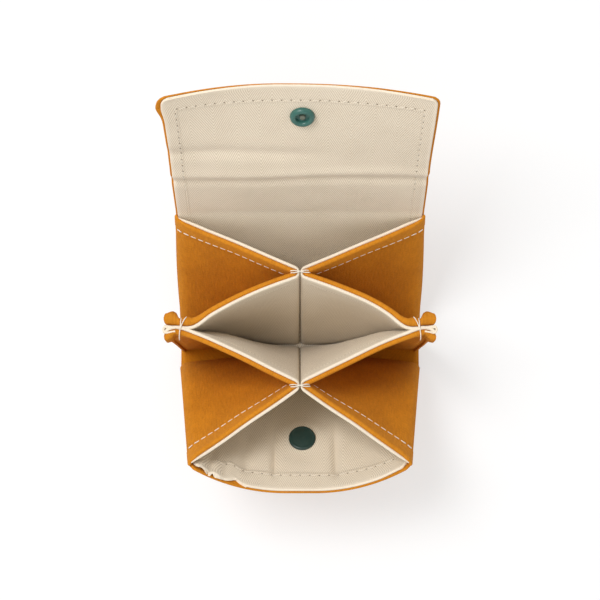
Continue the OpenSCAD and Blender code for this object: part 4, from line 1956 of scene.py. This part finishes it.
        strands = [over(0.4 * MM, 4.6 * MM, -5.0 * MM), over(2.6 * MM, 5.2 * MM, -4.8 * MM)]
        name = side.name.lower()
        obj = thread(f"{name}_pinch_thread", strands, 0.22 * MM)
        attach(dress(obj, self.finishes.thread), "base")
        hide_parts(f"{name}_pinch_tack")


@dataclass
class Snaps:
    """The two halves of the moulded snap."""

    finishes: Finishes
    cap_at: tuple = (1 * MM, -48.39 * MM, 46.36 * MM)
    cap_lean: float = 55.03
    socket_at: tuple = (1 * MM, 83.05 * MM, 147.57 * MM)
    socket_lean: float = 29.5
    # Rings of the turned pieces, each a radius and a height in millimetres.
    cap_edge: tuple = ((6.0, 0.0), (6.2, 0.25), (6.2, 0.75), (6.05, 1.15), (5.75, 1.42), (5.4, 1.52))
    cap_top: tuple = ((5.05, 1.47), (4.8, 1.42), (4.4, 1.47), (3.0, 1.6), (1.5, 1.68), (0.4, 1.7))
    ring_out: tuple = ((5.0, 0.0), (5.2, 0.3), (5.2, 0.8), (5.05, 1.4), (4.7, 1.95), (4.2, 2.25), (3.7, 2.3))
    ring_in: tuple = ((3.2, 2.15), (2.85, 1.8), (2.65, 1.3), (2.6, 0.5), (2.3, 0.35), (1.0, 0.35))
    pin: tuple = ((1.25, 0.3), (1.25, 1.1), (1.1, 1.35), (0.7, 1.45), (0.2, 1.47))

    def build(self, nodes: dict[str, bpy.types.Object]) -> None:
        """Turns the two halves that show and dresses those that don't.

        Args:
            nodes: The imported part's nodes by name.
        """
        for node in ("snap_stud", "snap_socket_cap"):
            dress(nodes[node], self.finishes.cap)
        faces_back = np.array([1, -1, 1])
        lift = math.tan(math.radians(CAP_TILT)) * CAP_R
        at = np.array(self.cap_at) - out_of(self.cap_lean) * faces_back * lift
        normal = Vector(-out_of(self.cap_lean + CAP_TILT) * faces_back)
        rings = self.cap_edge + self.cap_top
        obj = self.turned("stud_cap", rings, tuple(at), normal, self.finishes.cap)
        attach(obj, "front_panel")
        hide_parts("snap_stud_cap")
        normal = -Vector(out_of(self.socket_lean))
        at = self.socket_at
        obj = self.turned("socket_ring", self.ring_out + self.ring_in, at, normal, self.finishes.socket)
        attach(obj, "flap_cover")
        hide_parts("snap_socket")
        obj = self.turned("socket_pin", self.pin, at, normal, self.finishes.pin)
        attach(obj, "flap_cover")

    def turned(
        self,
        name: str,
        rings: tuple[tuple[float, float], ...],
        at: tuple[float, float, float],
        normal: Vector,
        material: bpy.types.Material,
    ) -> bpy.types.Object:
        """Builds a round piece from a filled circle, ring by ring, and sets it on cloth.

        Args:
            name: The piece's name.
            rings: Each ring's radius and height, in millimetres.
            at: A point of the shared face under it.
            normal: The way it faces.
            material: Its finish.

        Returns:
            The piece in its place.
        """
        bpy.ops.object.select_all(action="DESELECT")
        foot_r = rings[0][0] * MM
        bpy.ops.mesh.primitive_circle_add(vertices=64, radius=foot_r, fill_type="NGON", location=(0, 0, 0))
        obj = bpy.context.object
        obj.name = name
        bpy.ops.object.mode_set(mode="EDIT")
        bpy.ops.mesh.select_all(action="SELECT")
        for (r0, h0), (r1, h1) in zip(rings, rings[1:]):
            bpy.ops.mesh.extrude_region_move(TRANSFORM_OT_translate={"value": (0, 0, (h1 - h0) * MM)})
            bpy.ops.transform.resize(value=(r1 / r0, r1 / r0, 1.0), center_override=(0, 0, 0))
        bpy.ops.mesh.select_all(action="SELECT")
        bpy.ops.mesh.normals_make_consistent(inside=False)
        bpy.ops.object.mode_set(mode="OBJECT")
        bpy.ops.object.shade_smooth_by_angle(angle=math.radians(40))
        turn = normal.to_track_quat("Z", "Y").to_matrix().to_4x4()
        sunk = 0.1 * MM
        foot = Vector(at) + normal * (LINING_PLAIN - sunk + rings[0][1] * MM)
        obj.data.transform(Matrix.Translation(foot) @ turn)
        obj.data.update()
        return dress(obj, material)


@dataclass
class Studio:
    """The camera, the lamps and the floor."""

    camera_at: tuple = (0.0, -0.068354, 0.8)
    camera_tilt: float = 6.5
    lens: float = 96.8
    key: tuple = ((-0.36, 0.17, 1.0), 0.4, 6.2)
    fill: tuple = ((0.1, -0.9, 0.9), 0.9, 1.5)
    lamps_face: tuple = (0.0, 0.0, 0.06)
    sky: tuple = (1.0, 0.975, 0.935, 1.0)
    sky_strength: float = 0.63
    floor_shade: tuple = (0.95, 0.965, 0.985, 1.0)
    floor_glow: float = 0.5

    def build(self) -> None:
        """Sets up the view, the light and the white floor."""
        self.camera()
        self.floor()
        self.lamp("key", *self.key)
        self.lamp("fill", *self.fill)
        world = bpy.data.worlds.new("studio")
        bpy.context.scene.world = world
        world.use_nodes = True
        tree = world.node_tree
        back = tree.nodes["Background"]
        back.inputs["Color"].default_value = self.sky
        back.inputs["Strength"].default_value = self.sky_strength
        bpy.context.scene.view_settings.view_transform = "Standard"

    def camera(self) -> None:
        """Looks down at the wallet from above its front edge."""
        data = bpy.data.cameras.new("camera")
        data.lens = self.lens
        data.sensor_width = 36.0
        camera = bpy.data.objects.new("camera", data)
        camera.location = self.camera_at
        camera.rotation_euler = (math.radians(self.camera_tilt), 0.0, 0.0)
        bpy.context.scene.collection.objects.link(camera)
        bpy.context.scene.camera = camera

    def lamp(self, name: str, at: tuple, size: float, power: float) -> None:
        """A square lamp that faces the wallet.

        Args:
            name: The lamp's name.
            at: The lamp's place.
            size: Width of its square.
            power: The lamp's power.
        """
        data = bpy.data.lights.new(name, "AREA")
        data.size = size
        data.energy = power
        lamp = bpy.data.objects.new(name, data)
        lamp.location = at
        way = Vector(self.lamps_face) - Vector(at)
        lamp.rotation_euler = way.to_track_quat("-Z", "Y").to_euler()
        bpy.context.scene.collection.objects.link(lamp)

    def floor(self) -> None:
        """A wide floor that is white to the camera and keeps the shadow."""
        bpy.ops.object.select_all(action="DESELECT")
        bpy.ops.mesh.primitive_plane_add(size=6.0, location=(0, 0, 0))
        floor = bpy.context.object
        floor.name = "floor"
        n = Nodes("white_floor")
        matte = n.put(n.add("ShaderNodeBsdfDiffuse"), Color=self.floor_shade)
        glow = n.put(n.add("ShaderNodeEmission"), Color=(1.0, 1.0, 1.0, 1.0), Strength=1.0)
        path = n.add("ShaderNodeLightPath")
        direct = n.math("MAXIMUM", path.outputs["Is Camera Ray"], path.outputs["Is Glossy Ray"])
        seen = n.math("MULTIPLY", direct, self.floor_glow)
        blend = n.add("ShaderNodeMixShader")
        n.join(seen, blend.inputs[0])
        n.join(matte.outputs[0], blend.inputs[1])
        n.join(glow.outputs[0], blend.inputs[2])
        n.put(n.output, Surface=blend.outputs[0])
        floor.data.materials.append(n.material)


def main() -> None:
    """Builds the wallet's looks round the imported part."""
    logging.basicConfig(level=logging.INFO, format="%(name)s: %(message)s")
    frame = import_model()
    shape = Shape(Cut(), Creases(frame["joints"]))
    finishes = Finishes.make()
    Strip(shape, finishes).build()
    Gussets(shape, finishes).build()
    Threads(shape, finishes).build()
    Snaps(finishes).build(frame["nodes"])
    Studio().build()


if __name__ == "__main__":
    main()
